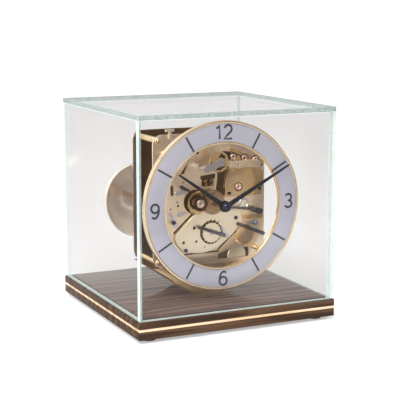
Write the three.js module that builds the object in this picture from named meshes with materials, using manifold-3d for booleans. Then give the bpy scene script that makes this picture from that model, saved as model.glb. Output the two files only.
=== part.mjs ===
// A skeleton mantel clock: a key-wound, bell-striking movement on a brass stand,
// a ring dial in front of it, a square walnut base and a lift-off glass cover.
// Millimetres, +Z up, front towards -Y. The origin is the middle of the footprint, on the table.
import * as THREE from "three";
import { mergeVertices } from "three/addons/utils/BufferGeometryUtils.js";
import Module from "manifold-3d";

const wasm = await Module();
wasm.setup();

// ---- Driving dimensions -------------------------------------------------------------------

// Base and feet
const footHeight = 3;
const footRadius = 7;
const footInset = 13;
const lowerBoardHeight = 7;
const inlayHeight = 2;
const upperBoardHeight = 6;
const baseOverhang = 1;
const panelHeight = 1.5;

// Glass cover
const coverWidth = 180;
const coverHeight = 166;
const paneThickness = 4;
const coverFit = 0.5;

// Movement frame: front plate, back plate and the pillars between them
const plateWidth = 106;
const plateAbove = 59.5;
const plateBelow = 55;
const plateThickness = 2;
const plateGap = 42.4;
const frontFace = -32;
const plateCorner = 7;
const pillarRadius = 3;
const pillarInset = 5;
const pillarEndRadius = 1.8;
const pillarEndOut = 1.6;

// Ring dial
const dialRadius = 72.4;
const dialOpening = 53;
const dialStandOff = 24.7;
const dialPostRadius = 2;
const bezelLip = 2.2;
const bezelDepth = 5;
const innerLip = 1.6;
const innerLipDepth = 3;
const dialThickness = 1.5;

// Hands
const minuteLength = 68.5;
const hourLength = 51.5;
const minuteAngle = 62;
const hourAngle = 305;
const handThickness = 0.8;

// Arbors, fits and play
const arborRadius = 1.2;
const pivotFit = 0.06;
const contactGap = 0.3;
const windingRadius = 1.8;
const windingSquare = 3;
const windingOut = 9;

// Bell
const bellRadius = 33.5;
const bellHeight = 40;
const bellWall = 1.5;
const bellBehindPlate = 6.6;
const bellX = -42.5;
const bellZ = -3.7;
const bellPostRadius = 2.5;

// Stand
const standFootHalf = 14;
const standThickness = 2;

// Tooth counts and modules
const barrelTeeth = 34;
const barrelModule = 1.1;
const barrelPinionTeeth = 8;
const drumRadius = 13.4;
const drumLength = 18;
const trainModule = 1;
const secondTeeth = 40;
const centrePinionTeeth = 12;
const centreTeeth = 36;
const thirdPinionTeeth = 8;
const thirdTeeth = 30;
const escapePinionTeeth = 7;
const escapeTeeth = 15;
const escapeRadius = 6.4;
const strikeSecondTeeth = 30;
const strikeThirdPinionTeeth = 8;
const strikeThirdTeeth = 28;
const flyPinionTeeth = 7;
const motionModule = 0.65;
const cannonTeeth = 10;
const minuteWheelTeeth = 30;
const minutePinionTeeth = 8;
const hourWheelTeeth = 32;
const wheelThickness = 1.5;
const pinionLength = 4.5;

// Escapement
const balanceRadius = 9;
const palletToBalance = 12;
const escapeToPallet = 8.6;

// ---- Levels along Y, from the plates -------------------------------------------------------

const frontInner = frontFace + plateThickness;
const backInner = frontInner + plateGap;
const backFace = backInner + plateThickness;
const bridgeRear = frontFace - contactGap;
const bridgeFront = bridgeRear - plateThickness;
const dialRear = frontFace - dialStandOff;
const dialFront = dialRear - dialThickness;

// ---- Solids, from three.js geometry and manifold-3d joins and cuts -------------------------

function solid(geometry) {
  const bare = geometry.index ? geometry.toNonIndexed() : geometry.clone();
  bare.deleteAttribute("normal");
  bare.deleteAttribute("uv");
  const merged = mergeVertices(bare, 1e-4);
  return new wasm.Manifold(
    new wasm.Mesh({
      numProp: 3,
      vertProperties: merged.attributes.position.array,
      triVerts: new Uint32Array(merged.index.array),
    }),
  );
}

function geometryOf(manifold) {
  const mesh = manifold.getMesh();
  const geometry = new THREE.BufferGeometry();
  const positions = new Float32Array(mesh.vertProperties);
  geometry.setAttribute("position", new THREE.BufferAttribute(positions, 3));
  geometry.setIndex(new THREE.BufferAttribute(new Uint32Array(mesh.triVerts), 1));
  geometry.computeVertexNormals();
  return geometry;
}

function join(...geometries) {
  return geometryOf(geometries.map(solid).reduce((sum, next) => sum.add(next)));
}

function cut(body, ...tools) {
  return geometryOf(tools.map(solid).reduce((rest, tool) => rest.subtract(tool), solid(body)));
}

// A flat shape drawn as seen from the front (x right, y up), given thickness from rear to front.
function slab(shape, rear, front) {
  const geometry = new THREE.ExtrudeGeometry(shape, {
    depth: rear - front,
    bevelEnabled: false,
    curveSegments: 8,
  });
  return geometry.rotateX(Math.PI / 2).translate(0, rear, 0);
}

// A rod along Y between two levels, centred at (x, z).
function rod(radius, front, rear, x = 0, z = 0, sides = 8) {
  return new THREE.CylinderGeometry(radius, radius, rear - front, sides).translate(
    x,
    (front + rear) / 2,
    z,
  );
}

function box(x0, x1, y0, y1, z0, z1) {
  return new THREE.BoxGeometry(x1 - x0, y1 - y0, z1 - z0).translate(
    (x0 + x1) / 2,
    (y0 + y1) / 2,
    (z0 + z1) / 2,
  );
}

// A turned piece about the Y axis from a closed profile of [radius, y] points.
function turned(profile, sides = 32) {
  const closed = [...profile, profile[0]].map(([r, y]) => new THREE.Vector2(r, y));
  return new THREE.LatheGeometry(closed, sides);
}

function polygon(points) {
  return new THREE.Shape(points.map(([x, y]) => new THREE.Vector2(x, y)));
}

function roundedRectangle(x0, x1, z0, z1, corner) {
  const shape = new THREE.Shape();
  const turns = [
    [x1 - corner, z0 + corner, -90],
    [x1 - corner, z1 - corner, 0],
    [x0 + corner, z1 - corner, 90],
    [x0 + corner, z0 + corner, 180],
  ];
  const points = turns.flatMap(([cx, cz, start]) =>
    [0, 45, 90].map((step) => around([cx, cz], corner, start + step)),
  );
  points.forEach(([x, z], i) => (i ? shape.lineTo(x, z) : shape.moveTo(x, z)));
  return shape;
}

// A bar with round ends between two points.
function link(from, to, fromRadius, toRadius, steps = 4) {
  const angle = direction(from, to);
  const arc = (centre, radius, start) =>
    Array.from({ length: steps + 1 }, (_, i) => around(centre, radius, start + (180 * i) / steps));
  return polygon([...arc(to, toRadius, angle - 90), ...arc(from, fromRadius, angle + 90)]);
}

function around([x, z], distance, degrees) {
  const angle = THREE.MathUtils.degToRad(degrees);
  return [x + distance * Math.cos(angle), z + distance * Math.sin(angle)];
}

function direction([x0, z0], [x1, z1]) {
  return THREE.MathUtils.radToDeg(Math.atan2(z1 - z0, x1 - x0));
}

// The point at distance da from a and db from b, on the left of the way from a to b.
function meeting(a, da, b, db) {
  const apart = Math.hypot(b[0] - a[0], b[1] - a[1]);
  const along = (da * da - db * db + apart * apart) / (2 * apart);
  const aside = Math.sqrt(Math.max(0, da * da - along * along));
  const heading = direction(a, b);
  return around(around(a, along, heading), aside, heading + 90);
}

// The corner radius of a many-sided hole in which a rod of the given radius turns freely.
function runningFit(radius, sides = 8) {
  return (radius + pivotFit) / Math.cos(Math.PI / sides);
}

function addHole(shape, [x, z], radius, sides = 8) {
  const wall = runningFit(radius, sides);
  const points = Array.from({ length: sides }, (_, i) => around([x, z], wall, (-360 * i) / sides));
  shape.holes.push(new THREE.Path(points.map(([px, pz]) => new THREE.Vector2(px, pz))));
}

function addWindow(shape, points) {
  shape.holes.push(new THREE.Path(points.map(([x, z]) => new THREE.Vector2(x, z))));
}

// ---- Gears ---------------------------------------------------------------------------------

const addendum = 0.8;
const dedendum = 1.12;

const rootDepth = 1.6;
const rimWidth = 1.4;

// The radius where a wheel's spokes meet its rim.
function rimInside(teeth, module) {
  return (teeth * module) / 2 - rootDepth * module - rimWidth;
}

// A wheel outline: flat-topped teeth with straight flanks that meet in a V between them.
// One tooth is centred on the angle "phase".
function wheelOutline(teeth, module, phase) {
  const pitchRadius = (teeth * module) / 2;
  const step = 360 / teeth;
  const points = [];
  for (let i = 0; i < teeth; i++) {
    const middle = phase + i * step;
    const tip = pitchRadius + addendum * module;
    points.push(
      around([0, 0], pitchRadius - rootDepth * module, middle - 0.5 * step),
      around([0, 0], tip, middle - 0.09 * step),
      around([0, 0], tip, middle + 0.09 * step),
    );
  }
  return polygon(points);
}

// A pinion outline: thin teeth, or leaves, with a flat root between them.
function pinionOutline(teeth, module, phase) {
  const pitchRadius = (teeth * module) / 2;
  const step = 360 / teeth;
  const points = [];
  for (let i = 0; i < teeth; i++) {
    const middle = phase + i * step;
    const root = pitchRadius - dedendum * module;
    const tip = pitchRadius + addendum * module;
    points.push(
      around([0, 0], root, middle - 0.25 * step),
      around([0, 0], tip, middle - 0.06 * step),
      around([0, 0], tip, middle + 0.06 * step),
      around([0, 0], root, middle + 0.25 * step),
    );
  }
  return polygon(points);
}

// Windows between the spokes of a wheel.
function addCrossings(shape, spokes, inner, outer, spokeWidth) {
  for (let i = 0; i < spokes; i++) {
    const start = (360 * i) / spokes;
    const innerEdge = THREE.MathUtils.radToDeg(Math.asin(spokeWidth / 2 / inner));
    const outerEdge = THREE.MathUtils.radToDeg(Math.asin(spokeWidth / 2 / outer));
    const end = start + 360 / spokes;
    addWindow(shape, [
      around([0, 0], inner, start + innerEdge),
      around([0, 0], inner, end - innerEdge),
      around([0, 0], outer, end - outerEdge),
      around([0, 0], outer, (start + end) / 2 + (end - start) / 6),
      around([0, 0], outer, (start + end) / 2 - (end - start) / 6),
      around([0, 0], outer, start + outerEdge),
    ]);
  }
}

function wheel(teeth, module, phase, front, spokes = 4) {
  const shape = wheelOutline(teeth, module, phase);
  const rim = rimInside(teeth, module);
  if (spokes) addCrossings(shape, spokes, rim * 0.34, rim, 1.8);
  return slab(shape, front + wheelThickness, front);
}

function pinion(teeth, module, phase, front, length = pinionLength) {
  return slab(pinionOutline(teeth, module, phase), front + length, front);
}

// The phase that puts a gap of the driven gear where the driver's tooth points.
function gapPhase(teeth, towardsDriver) {
  return towardsDriver + 180 / teeth;
}

// ---- Arbor positions, seen from the front, from the centre arbor ---------------------------

const half = (teeth, module) => (teeth * module) / 2;
const barrelReach = half(barrelTeeth + barrelPinionTeeth, barrelModule);
const secondReach = half(secondTeeth + centrePinionTeeth, trainModule);
const thirdReach = half(centreTeeth + thirdPinionTeeth, trainModule);
const escapeReach = half(thirdTeeth + escapePinionTeeth, trainModule);
const strikeThirdReach = half(strikeSecondTeeth + strikeThirdPinionTeeth, trainModule);
const flyReach = half(strikeThirdTeeth + flyPinionTeeth, trainModule);
const motionReach = half(cannonTeeth + minuteWheelTeeth, motionModule);

const centre = [0, 0];
const strikeBarrelAt = [0, -27];
const barrelTip = half(barrelTeeth, barrelModule) + addendum * barrelModule;
const barrelsApart = barrelTip + drumRadius + 1.5 * contactGap;
const timeBarrelAt = around(strikeBarrelAt, barrelsApart, -8);
const secondAt = meeting(centre, secondReach, timeBarrelAt, barrelReach);
const thirdAt = around(centre, thirdReach, 40);
const escapeAt = around(thirdAt, escapeReach, 66);
const palletAt = around(escapeAt, escapeToPallet, 172);
const balanceAt = around(palletAt, palletToBalance, 166);
const minuteWheelAt = around(centre, motionReach, 180);
const strikeSecondAt = around(strikeBarrelAt, barrelReach, 140);
const strikeThirdAt = around(strikeSecondAt, strikeThirdReach, 135);
const flyAt = around(strikeThirdAt, flyReach, 70);
const hammerAt = [-27, -30];
const leverAt = [48, -12];

// ---- Scene graph ---------------------------------------------------------------------------

const baseTop = footHeight + lowerBoardHeight + inlayHeight + upperBoardHeight;
const centreHeight = baseTop + coverHeight / 2;
const seat = 0.05;

const clock = new THREE.Group();
const movement = new THREE.Group();
movement.position.z = centreHeight;
clock.add(movement);

const finishes = {
  walnut: { color: 0x6b4530, roughness: 0.45, metalness: 0 },
  lacquer: { color: 0x4a3228, roughness: 0.08, metalness: 0 },
  maple: { color: 0xe8c79a, roughness: 0.5, metalness: 0 },
  rubber: { color: 0x1a1a1a, roughness: 0.8, metalness: 0 },
  glass: { color: 0xdcebe6, roughness: 0.02, metalness: 0, transparent: true, opacity: 0.3 },
  brass: { color: 0xdcb877, roughness: 0.25, metalness: 1 },
  paleBrass: { color: 0xe9d3a6, roughness: 0.35, metalness: 1 },
  bellMetal: { color: 0xe8dcc0, roughness: 0.12, metalness: 1 },
  steel: { color: 0xb8babd, roughness: 0.25, metalness: 1 },
  blued: { color: 0x20242f, roughness: 0.25, metalness: 0.9 },
  silvered: { color: 0xb9b8c6, roughness: 0.4, metalness: 0.6 },
};

function add(group, name, geometry, finish, at = [0, 0]) {
  const mesh = new THREE.Mesh(geometry, new THREE.MeshStandardMaterial(finishes[finish]));
  mesh.name = name;
  mesh.position.set(at[0], 0, at[1]);
  group.add(mesh);
  return mesh;
}

// ---- Base: two walnut boards with a maple line between them, on four feet ------------------

const baseHalf = coverWidth / 2 + baseOverhang;
let level = footHeight;

function board(name, height, halfWidth, finish) {
  const geometry = box(-halfWidth, halfWidth, -halfWidth, halfWidth, level, level + height);
  add(clock, name, geometry, finish);
  level += height;
}

board("base_lower_board", lowerBoardHeight, baseHalf, "walnut");
board("base_inlay", inlayHeight, baseHalf, "maple");
board("base_upper_board", upperBoardHeight, baseHalf, "walnut");
const panelHalf = coverWidth / 2 - paneThickness - coverFit;
board("cover_locating_panel", panelHeight, panelHalf, "lacquer");

for (const [side, x] of [["left", -1], ["right", 1]]) {
  for (const [end, y] of [["front", -1], ["rear", 1]]) {
    const foot = new THREE.CylinderGeometry(footRadius, footRadius, footHeight, 20);
    foot.rotateX(Math.PI / 2).translate(0, 0, footHeight / 2);
    const mesh = add(clock, `foot_${end}_${side}`, foot, "rubber");
    mesh.position.set(x * (baseHalf - footInset), y * (baseHalf - footInset), 0);
  }
}

// ---- Glass cover: four side panes and a top pane glued over them ---------------------------

const cover = new THREE.Group();
const coverHalf = coverWidth / 2;
const paneBottom = baseTop + seat;
const topRear = baseTop + coverHeight;
const sideTop = topRear - paneThickness - seat;
const sideHalf = coverHalf - paneThickness - seat;
clock.add(cover);
for (const [name, end] of [["glass_front", -1], ["glass_rear", 1]]) {
  const inner = end * (coverHalf - paneThickness);
  const outer = end * coverHalf;
  const [y0, y1] = [Math.min(inner, outer), Math.max(inner, outer)];
  add(cover, name, box(-coverHalf, coverHalf, y0, y1, paneBottom, sideTop), "glass");
}
for (const [name, side] of [["glass_left", -1], ["glass_right", 1]]) {
  const inner = side * (coverHalf - paneThickness);
  const outer = side * coverHalf;
  const [x0, x1] = [Math.min(inner, outer), Math.max(inner, outer)];
  add(cover, name, box(x0, x1, -sideHalf, sideHalf, paneBottom, sideTop), "glass");
}
const topPane = box(-coverHalf, coverHalf, -coverHalf, coverHalf, topRear - paneThickness, topRear);
add(cover, "glass_top", topPane, "glass");

// ---- Movement frame: plates, pillars and stand ---------------------------------------------

const plateHalf = plateWidth / 2;
const pillarTop = plateAbove - pillarInset;
const pillarBottom = -plateBelow + pillarInset;
const pillarX = plateHalf - pillarInset;
const pillarSpots = {
  upper_left: [-pillarX, pillarTop],
  upper_right: [pillarX, pillarTop],
  lower_left: [-pillarX, pillarBottom],
  lower_right: [pillarX, pillarBottom],
};
const dialPostOut = (dialRadius + dialOpening) / 2;
const dialPostSpots = {
  upper_left: around(centre, dialPostOut, 135),
  upper_right: around(centre, dialPostOut, 45),
  lower_left: around(centre, dialPostOut, -135),
  lower_right: around(centre, dialPostOut, -45),
};

const plateOutline = () =>
  roundedRectangle(-plateHalf, plateHalf, -plateBelow, plateAbove, plateCorner);

const frontPlate = plateOutline();
// Windows sawn in the front plate, as corner points from the centre arbor.
const plateWindows = {
  train: [[7, 4], [7, 27], [48, 27], [48, 4]],
  timeBarrel: [[8, -52], [8, -47.5], [20, -43.5], [38, -43.5], [38, -52]],
  fly: [[-28, 25], [-19, 38], [-24, 25]],
  centreWheel: [[-8, 13], [-8, 22], [4, 22], [4, 13]],
  strikeThird: [[-37, 7], [-37, 16], [-34, 16], [-34, 7]],
};
for (const corners of Object.values(plateWindows)) addWindow(frontPlate, corners);
const finePivot = 0.8;
const trainSpots = [secondAt, centre, escapeAt, strikeSecondAt, strikeThirdAt, flyAt, hammerAt];
const barrelSpots = [timeBarrelAt, strikeBarrelAt];

// Tools that cut a running hole at each spot through a plate between two levels.
const holes = (spots, radius, front, rear) =>
  spots.map(([x, z]) => rod(runningFit(radius), front - 1, rear + 1, x, z));

const frontPlateSolid = cut(
  slab(frontPlate, frontInner, frontFace),
  ...holes([...trainSpots, minuteWheelAt, leverAt], arborRadius, frontFace, frontInner),
  ...holes([balanceAt, palletAt], finePivot, frontFace, frontInner),
  ...holes(barrelSpots, windingRadius, frontFace, frontInner),
  ...holes(Object.values(pillarSpots), pillarEndRadius, frontFace, frontInner),
);
add(movement, "front_plate", frontPlateSolid, "paleBrass");

const backPlateSolid = cut(
  slab(plateOutline(), backFace, backInner),
  ...holes([...trainSpots, thirdAt], arborRadius, backInner, backFace),
  ...holes(barrelSpots, windingRadius, backInner, backFace),
  ...holes(Object.values(pillarSpots), pillarEndRadius, backInner, backFace),
);
add(movement, "back_plate", backPlateSolid, "brass");

for (const [name, spot] of Object.entries(pillarSpots)) {
  const pillar = join(
    rod(pillarRadius, frontInner + seat, backInner - seat),
    rod(pillarEndRadius, frontFace - pillarEndOut, backFace + pillarEndOut),
  );
  add(movement, `pillar_${name}`, pillar, "brass", spot);
}

const standTop = -plateBelow - seat;
const standBottom = baseTop + panelHeight + seat - centreHeight;
const standWall = polygon([
  [-standFootHalf, standBottom],
  [standFootHalf, standBottom],
  [plateHalf, standTop],
  [-plateHalf, standTop],
]);
const stand = join(
  slab(standWall, frontInner, frontFace),
  slab(standWall, backFace, backInner),
  box(
    -standFootHalf,
    standFootHalf,
    frontFace,
    backFace,
    standBottom,
    standBottom + standThickness,
  ),
);
add(movement, "movement_stand", stand, "brass");

// ---- Bridges and cock on the front plate ---------------------------------------------------

const leaf = new THREE.Shape();
leaf.moveTo(-33, -26);
leaf.quadraticCurveTo(-36, -34, -27, -41);
leaf.quadraticCurveTo(-12, -47, 0, -43);
leaf.quadraticCurveTo(22, -34, 30, -19);
leaf.quadraticCurveTo(31, -9, 18, -8.5);
leaf.lineTo(-9, -8);
leaf.quadraticCurveTo(-13, -8, -16, -10.5);
leaf.closePath();
addHole(leaf, strikeBarrelAt, windingRadius);
add(movement, "strike_bridge", slab(leaf, bridgeRear, bridgeFront), "paleBrass");

// The corners of the train bridge, from the third wheel's arbor. It stops below the escape wheel's.
const trainBridgeTop = escapeAt[1] - thirdAt[1] - 1.75;
const trainBridgeCorners = [
  [-3.4, -11.1],
  [19.1, -12.1],
  [34.1, -5.1],
  [34.1, 9.9],
  [14.1, trainBridgeTop],
  [2.1, trainBridgeTop],
  [-3.4, 1.9],
];
const trainBridge = polygon(trainBridgeCorners.map(([x, z]) => [thirdAt[0] + x, thirdAt[1] + z]));
addHole(trainBridge, thirdAt, arborRadius);
add(movement, "train_bridge", slab(trainBridge, bridgeRear, bridgeFront), "brass");

// Levels in front of the plate, from the escape wheel out to the balance cock
const escapeWheelOut = 4;
const escapeBridgeClear = 1.4;
const escapeBridgeThickness = 1.2;
const balanceThickness = 1.4;
const balanceClear = 2;
const hairspringDepth = 0.6;
const hairspringClear = 1;
const cockThickness = 1.6;
const escapeFront = frontFace - escapeWheelOut;
const escapeBridgeRear = escapeFront - escapeBridgeClear;
const escapeBridgeFront = escapeBridgeRear - escapeBridgeThickness;
const balanceFront = escapeBridgeFront - balanceClear - balanceThickness;
const hairspringFront = balanceFront - hairspringClear - hairspringDepth;
const cockRear = hairspringFront - hairspringClear;
const cockFront = cockRear - cockThickness;

const smallBoss = 2.6;
const escapeBoss = 3.4;
const footBoss = 3.2;
const bridgeFootRadius = 2;
const bridgeFeet = [
  around(escapeAt, escapeRadius + 2.3, 6),
  around(escapeAt, escapeRadius + 12.2, 0),
];
const escapeBridge = cut(
  join(
    slab(link(palletAt, escapeAt, smallBoss, escapeBoss), escapeBridgeRear, escapeBridgeFront),
    slab(link(escapeAt, bridgeFeet[0], escapeBoss, footBoss), escapeBridgeRear, escapeBridgeFront),
    slab(link(bridgeFeet[0], bridgeFeet[1], footBoss, footBoss), escapeBridgeRear, escapeBridgeFront),
    ...bridgeFeet.map(([x, z]) => rod(bridgeFootRadius, escapeBridgeRear - 0.5, frontFace - seat, x, z)),
  ),
  rod(runningFit(arborRadius), cockFront, frontFace, ...escapeAt),
  rod(runningFit(finePivot), cockFront, frontFace, ...palletAt),
);
add(movement, "escapement_bridge", escapeBridge, "brass");

const cockFoot = around(balanceAt, balanceRadius + 5.5, 200);
const cock = cut(
  join(
    slab(link(cockFoot, balanceAt, footBoss, smallBoss), cockRear, cockFront),
    rod(smallBoss, cockRear - 0.5, frontFace - seat, ...cockFoot),
  ),
  rod(runningFit(finePivot), cockFront - 1, frontFace, ...balanceAt),
);
add(movement, "balance_cock", cock, "steel");

// ---- Ring dial -----------------------------------------------------------------------------

const ringOuter = dialRadius - bezelLip - seat;
const ringInner = dialOpening + innerLip + seat;
const bezelProud = 0.8;
const bezelFront = dialFront - bezelProud;
const dialSides = 40;
const dialRing = turned(
  [[ringInner, dialFront], [ringOuter, dialFront], [ringOuter, dialRear], [ringInner, dialRear]],
  dialSides,
);
add(movement, "dial_ring", dialRing, "silvered");
const bezelRear = bezelFront + bezelDepth;
const bezelInner = dialRadius - bezelLip;
const dialBezel = turned(
  [[bezelInner, bezelFront], [dialRadius, bezelFront], [dialRadius, bezelRear], [bezelInner, bezelRear]],
  dialSides,
);
add(movement, "dial_bezel", dialBezel, "brass");
const innerRear = bezelFront + innerLipDepth;
const lipOuter = dialOpening + innerLip;
const innerRing = turned(
  [[dialOpening, bezelFront], [lipOuter, bezelFront], [lipOuter, innerRear], [dialOpening, innerRear]],
  dialSides,
);
add(movement, "dial_inner_ring", innerRing, "brass");
for (const [name, spot] of Object.entries(dialPostSpots)) {
  add(movement, `dial_post_${name}`, rod(dialPostRadius, dialRear + seat, frontFace - seat), "brass", spot);
}

// ---- Bell ----------------------------------------------------------------------------------

const bellAt = [bellX, bellZ];
const bellRim = backFace + bellBehindPlate;
const bellTop = bellRim + bellHeight;
const bellSteps = [0, 20, 40, 60, 78];
const bellHole = bellPostRadius + pivotFit * 2;
const bellOutside = bellSteps.map((a) => {
  const angle = THREE.MathUtils.degToRad(a);
  return [bellRadius * Math.cos(angle), bellRim + bellHeight * Math.sin(angle)];
});
const bellInside = bellSteps.map((a) => {
  const angle = THREE.MathUtils.degToRad(a);
  const radius = bellRadius - bellWall;
  return [radius * Math.cos(angle), bellRim + (bellHeight - bellWall) * Math.sin(angle)];
});
const bell = turned(
  [...bellOutside, [bellHole, bellTop], [bellHole, bellTop - bellWall], ...bellInside.reverse()],
  24,
);
add(movement, "bell", bell, "bellMetal", bellAt);
const postBeyondBell = 4;
const postCollarWider = 1.8;
const postCollarThickness = 3;
const bellPost = join(
  rod(bellPostRadius, backFace + seat, bellTop + postBeyondBell),
  rod(bellPostRadius + postCollarWider, backFace + seat, backFace + postCollarThickness, 0, 0, 6),
);
add(movement, "bell_post", bellPost, "brass", bellAt);

// ---- Time train ----------------------------------------------------------------------------

const pivotShort = 0.4;
const pivotFront = frontFace + pivotShort;
const pivotRear = backFace - pivotShort;
const barrelThickness = 2;
const wallOfDrum = 1;
const timeDrumIn = 6;
const strikeDrumIn = 4;
const timeDrumFront = frontInner + timeDrumIn;
const timeDrumRear = timeDrumFront + drumLength;
const strikeDrumFront = frontInner + strikeDrumIn;
const strikeDrumRear = strikeDrumFront + drumLength;
const towards = direction;
const drumSides = 20;

// A going barrel: a toothed ring, a drum and an end disc on the far side from the teeth.
function barrel(phase, gearFront, drumFront, drumRear, discFront) {
  const ring = wheelOutline(barrelTeeth, barrelModule, phase);
  const bore = Array.from({ length: drumSides }, (_, i) =>
    around([0, 0], drumRadius - wallOfDrum, (-360 * i) / drumSides),
  );
  addWindow(ring, bore);
  const drum = turned(
    [
      [drumRadius - wallOfDrum, drumFront],
      [drumRadius, drumFront],
      [drumRadius, drumRear],
      [drumRadius - wallOfDrum, drumRear],
    ],
    drumSides,
  );
  const disc = cut(
    rod(drumRadius - wallOfDrum / 2, discFront, discFront + wheelThickness, 0, 0, drumSides),
    rod(runningFit(windingRadius), discFront - 1, discFront + 3),
  );
  return join(slab(ring, gearFront + barrelThickness, gearFront), drum, disc);
}

// A coiled strip inside a barrel, from the arbor to the wall.
function coil(inner, outer, turns, thickness, front, rear, stepsPerTurn = 10) {
  const steps = Math.round(turns * stepsPerTurn);
  const edge = (offset) =>
    Array.from({ length: steps + 1 }, (_, i) =>
      around([0, 0], inner + ((outer - inner) * i) / steps + offset, (360 * i) / stepsPerTurn),
    );
  return slab(polygon([...edge(thickness), ...edge(0).reverse()]), rear, front);
}

const timeBarrel = barrel(
  towards(timeBarrelAt, secondAt),
  timeDrumRear - barrelThickness,
  timeDrumFront,
  timeDrumRear,
  timeDrumFront,
);
add(movement, "time_barrel", timeBarrel, "brass", timeBarrelAt);
const springTurns = 3;
const springStrip = 0.8;
const springClear = 1;
const springInner = windingRadius + springClear;
const springOuter = drumRadius - wallOfDrum - springStrip - 0.6;
const springFront = timeDrumFront + wheelThickness + springClear;
const springRear = timeDrumRear - springClear;
const timeSpring = coil(springInner, springOuter, springTurns, springStrip, springFront, springRear);
add(movement, "time_mainspring", timeSpring, "steel", timeBarrelAt);

function windingArbor(front) {
  const squareFrom = backFace + 2;
  const end = backFace + windingOut;
  const halfSquare = windingSquare / 2;
  return join(
    rod(windingRadius, front, squareFrom + 1),
    box(-halfSquare, halfSquare, squareFrom, end, -halfSquare, halfSquare),
  );
}

const ratchetRadius = 9.4;
const ratchetThickness = 1.6;
const ratchetTeeth = 18;
const ratchetToothDepth = 1.3;
const arborProud = 0.8;
function ratchet(front) {
  const points = [];
  for (let i = 0; i < ratchetTeeth; i++) {
    const start = (360 * i) / ratchetTeeth;
    points.push(
      around([0, 0], ratchetRadius - ratchetToothDepth, start),
      around([0, 0], ratchetRadius, start + 3),
    );
  }
  const shape = polygon(points);
  addHole(shape, [0, 0], windingRadius);
  return slab(shape, front + ratchetThickness, front);
}

// A click: a pivoted finger whose nose stands just clear of the ratchet's tooth tips.
const clickPivot = 1;
const clickBoss = 2.2;
const noseRadius = 0.7;
function click(wheelAt, pivotAt, noseAngle, front, studRear) {
  const nose = around(wheelAt, ratchetRadius + contactGap + noseRadius, noseAngle);
  return join(
    slab(link(pivotAt, nose, clickBoss, noseRadius), front + ratchetThickness, front),
    rod(clickPivot, front - 0.6, studRear, ...pivotAt),
  );
}

const timeRatchetFront = frontFace - contactGap - ratchetThickness;
const timeWinding = windingArbor(timeRatchetFront - arborProud);
add(movement, "time_winding_arbor", timeWinding, "steel", timeBarrelAt);
add(movement, "time_ratchet_wheel", ratchet(timeRatchetFront), "steel", timeBarrelAt);
const timeClickAt = around(timeBarrelAt, ratchetRadius + 5.5, 40);
const timeClick = click(timeBarrelAt, timeClickAt, 75, timeRatchetFront, frontFace - seat);
add(movement, "time_click", timeClick, "steel");

const secondWheelIn = 10.4;
const secondWheelFront = backInner - secondWheelIn;
const secondWheel = join(
  wheel(secondTeeth, trainModule, towards(secondAt, centre), secondWheelFront),
  pinion(
    barrelPinionTeeth,
    barrelModule,
    gapPhase(barrelPinionTeeth, towards(secondAt, timeBarrelAt)),
    timeDrumRear - barrelThickness / 2 - pinionLength / 2,
  ),
  rod(arborRadius, pivotFront, pivotRear),
);
add(movement, "second_wheel", secondWheel, "brass", secondAt);

const hourHandClear = 2.4;
const handsApart = 1.2;
const minuteRear = dialFront - hourHandClear - handThickness - handsApart;
const centreWheelFront = timeDrumRear + 3;
const centreWheel = join(
  wheel(centreTeeth, trainModule, towards(centre, thirdAt), centreWheelFront),
  pinion(
    centrePinionTeeth,
    trainModule,
    gapPhase(centrePinionTeeth, towards(centre, secondAt)),
    secondWheelFront + wheelThickness / 2 - pinionLength / 2,
  ),
  rod(arborRadius, minuteRear - handThickness, pivotRear),
);
add(movement, "centre_wheel", centreWheel, "brass");

const thirdWheelIn = 9;
const thirdWheelFront = frontInner + thirdWheelIn;
const thirdWheel = join(
  wheel(thirdTeeth, trainModule, towards(thirdAt, escapeAt), thirdWheelFront),
  pinion(
    thirdPinionTeeth,
    trainModule,
    gapPhase(thirdPinionTeeth, towards(thirdAt, centre)),
    centreWheelFront + wheelThickness / 2 - pinionLength / 2,
  ),
  rod(arborRadius, bridgeFront + 0.4, pivotRear),
);
add(movement, "third_wheel", thirdWheel, "brass", thirdAt);

const escapeThickness = 1;
const escapeToothDepth = 1.9;
const escapePoints = [];
for (let i = 0; i < escapeTeeth; i++) {
  const start = (360 * i) / escapeTeeth;
  escapePoints.push(
    around([0, 0], escapeRadius - escapeToothDepth, start),
    around([0, 0], escapeRadius, start + 9),
    around([0, 0], escapeRadius - 0.3, start + 12),
  );
}
const escapeWheel = join(
  slab(polygon(escapePoints), escapeFront + escapeThickness, escapeFront),
  pinion(
    escapePinionTeeth,
    trainModule,
    gapPhase(escapePinionTeeth, towards(escapeAt, thirdAt)),
    thirdWheelFront + wheelThickness / 2 - pinionLength / 2,
  ),
  rod(arborRadius, escapeBridgeFront + 0.3, pivotRear),
);
add(movement, "escape_wheel", escapeWheel, "brass", escapeAt);

// ---- Escapement ----------------------------------------------------------------------------

const rollerRadius = 2.4;
const palletNib = 0.5;
const palletPlay = 0.8;
const palletBoss = 1.3;
const forkNib = 0.6;
const forkClear = 0.6;
const palletSpread = 38;
const forkReach = palletToBalance - rollerRadius - forkNib - forkClear;
const forkEnd = around(palletAt, forkReach, towards(palletAt, balanceAt));
const palletSpots = [palletSpread, -palletSpread].map((aside) =>
  around(escapeAt, escapeRadius + palletNib + palletPlay, towards(escapeAt, palletAt) + aside),
);
const palletLever = join(
  ...palletSpots.map((spot) =>
    slab(link(palletAt, spot, palletBoss, palletNib), escapeFront + escapeThickness, escapeFront),
  ),
  slab(link(palletAt, forkEnd, palletBoss, forkNib), escapeFront + escapeThickness, escapeFront),
  rod(finePivot, escapeBridgeFront + 0.3, pivotFront + 1, ...palletAt),
);
add(movement, "pallet_lever", palletLever, "steel");

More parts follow.
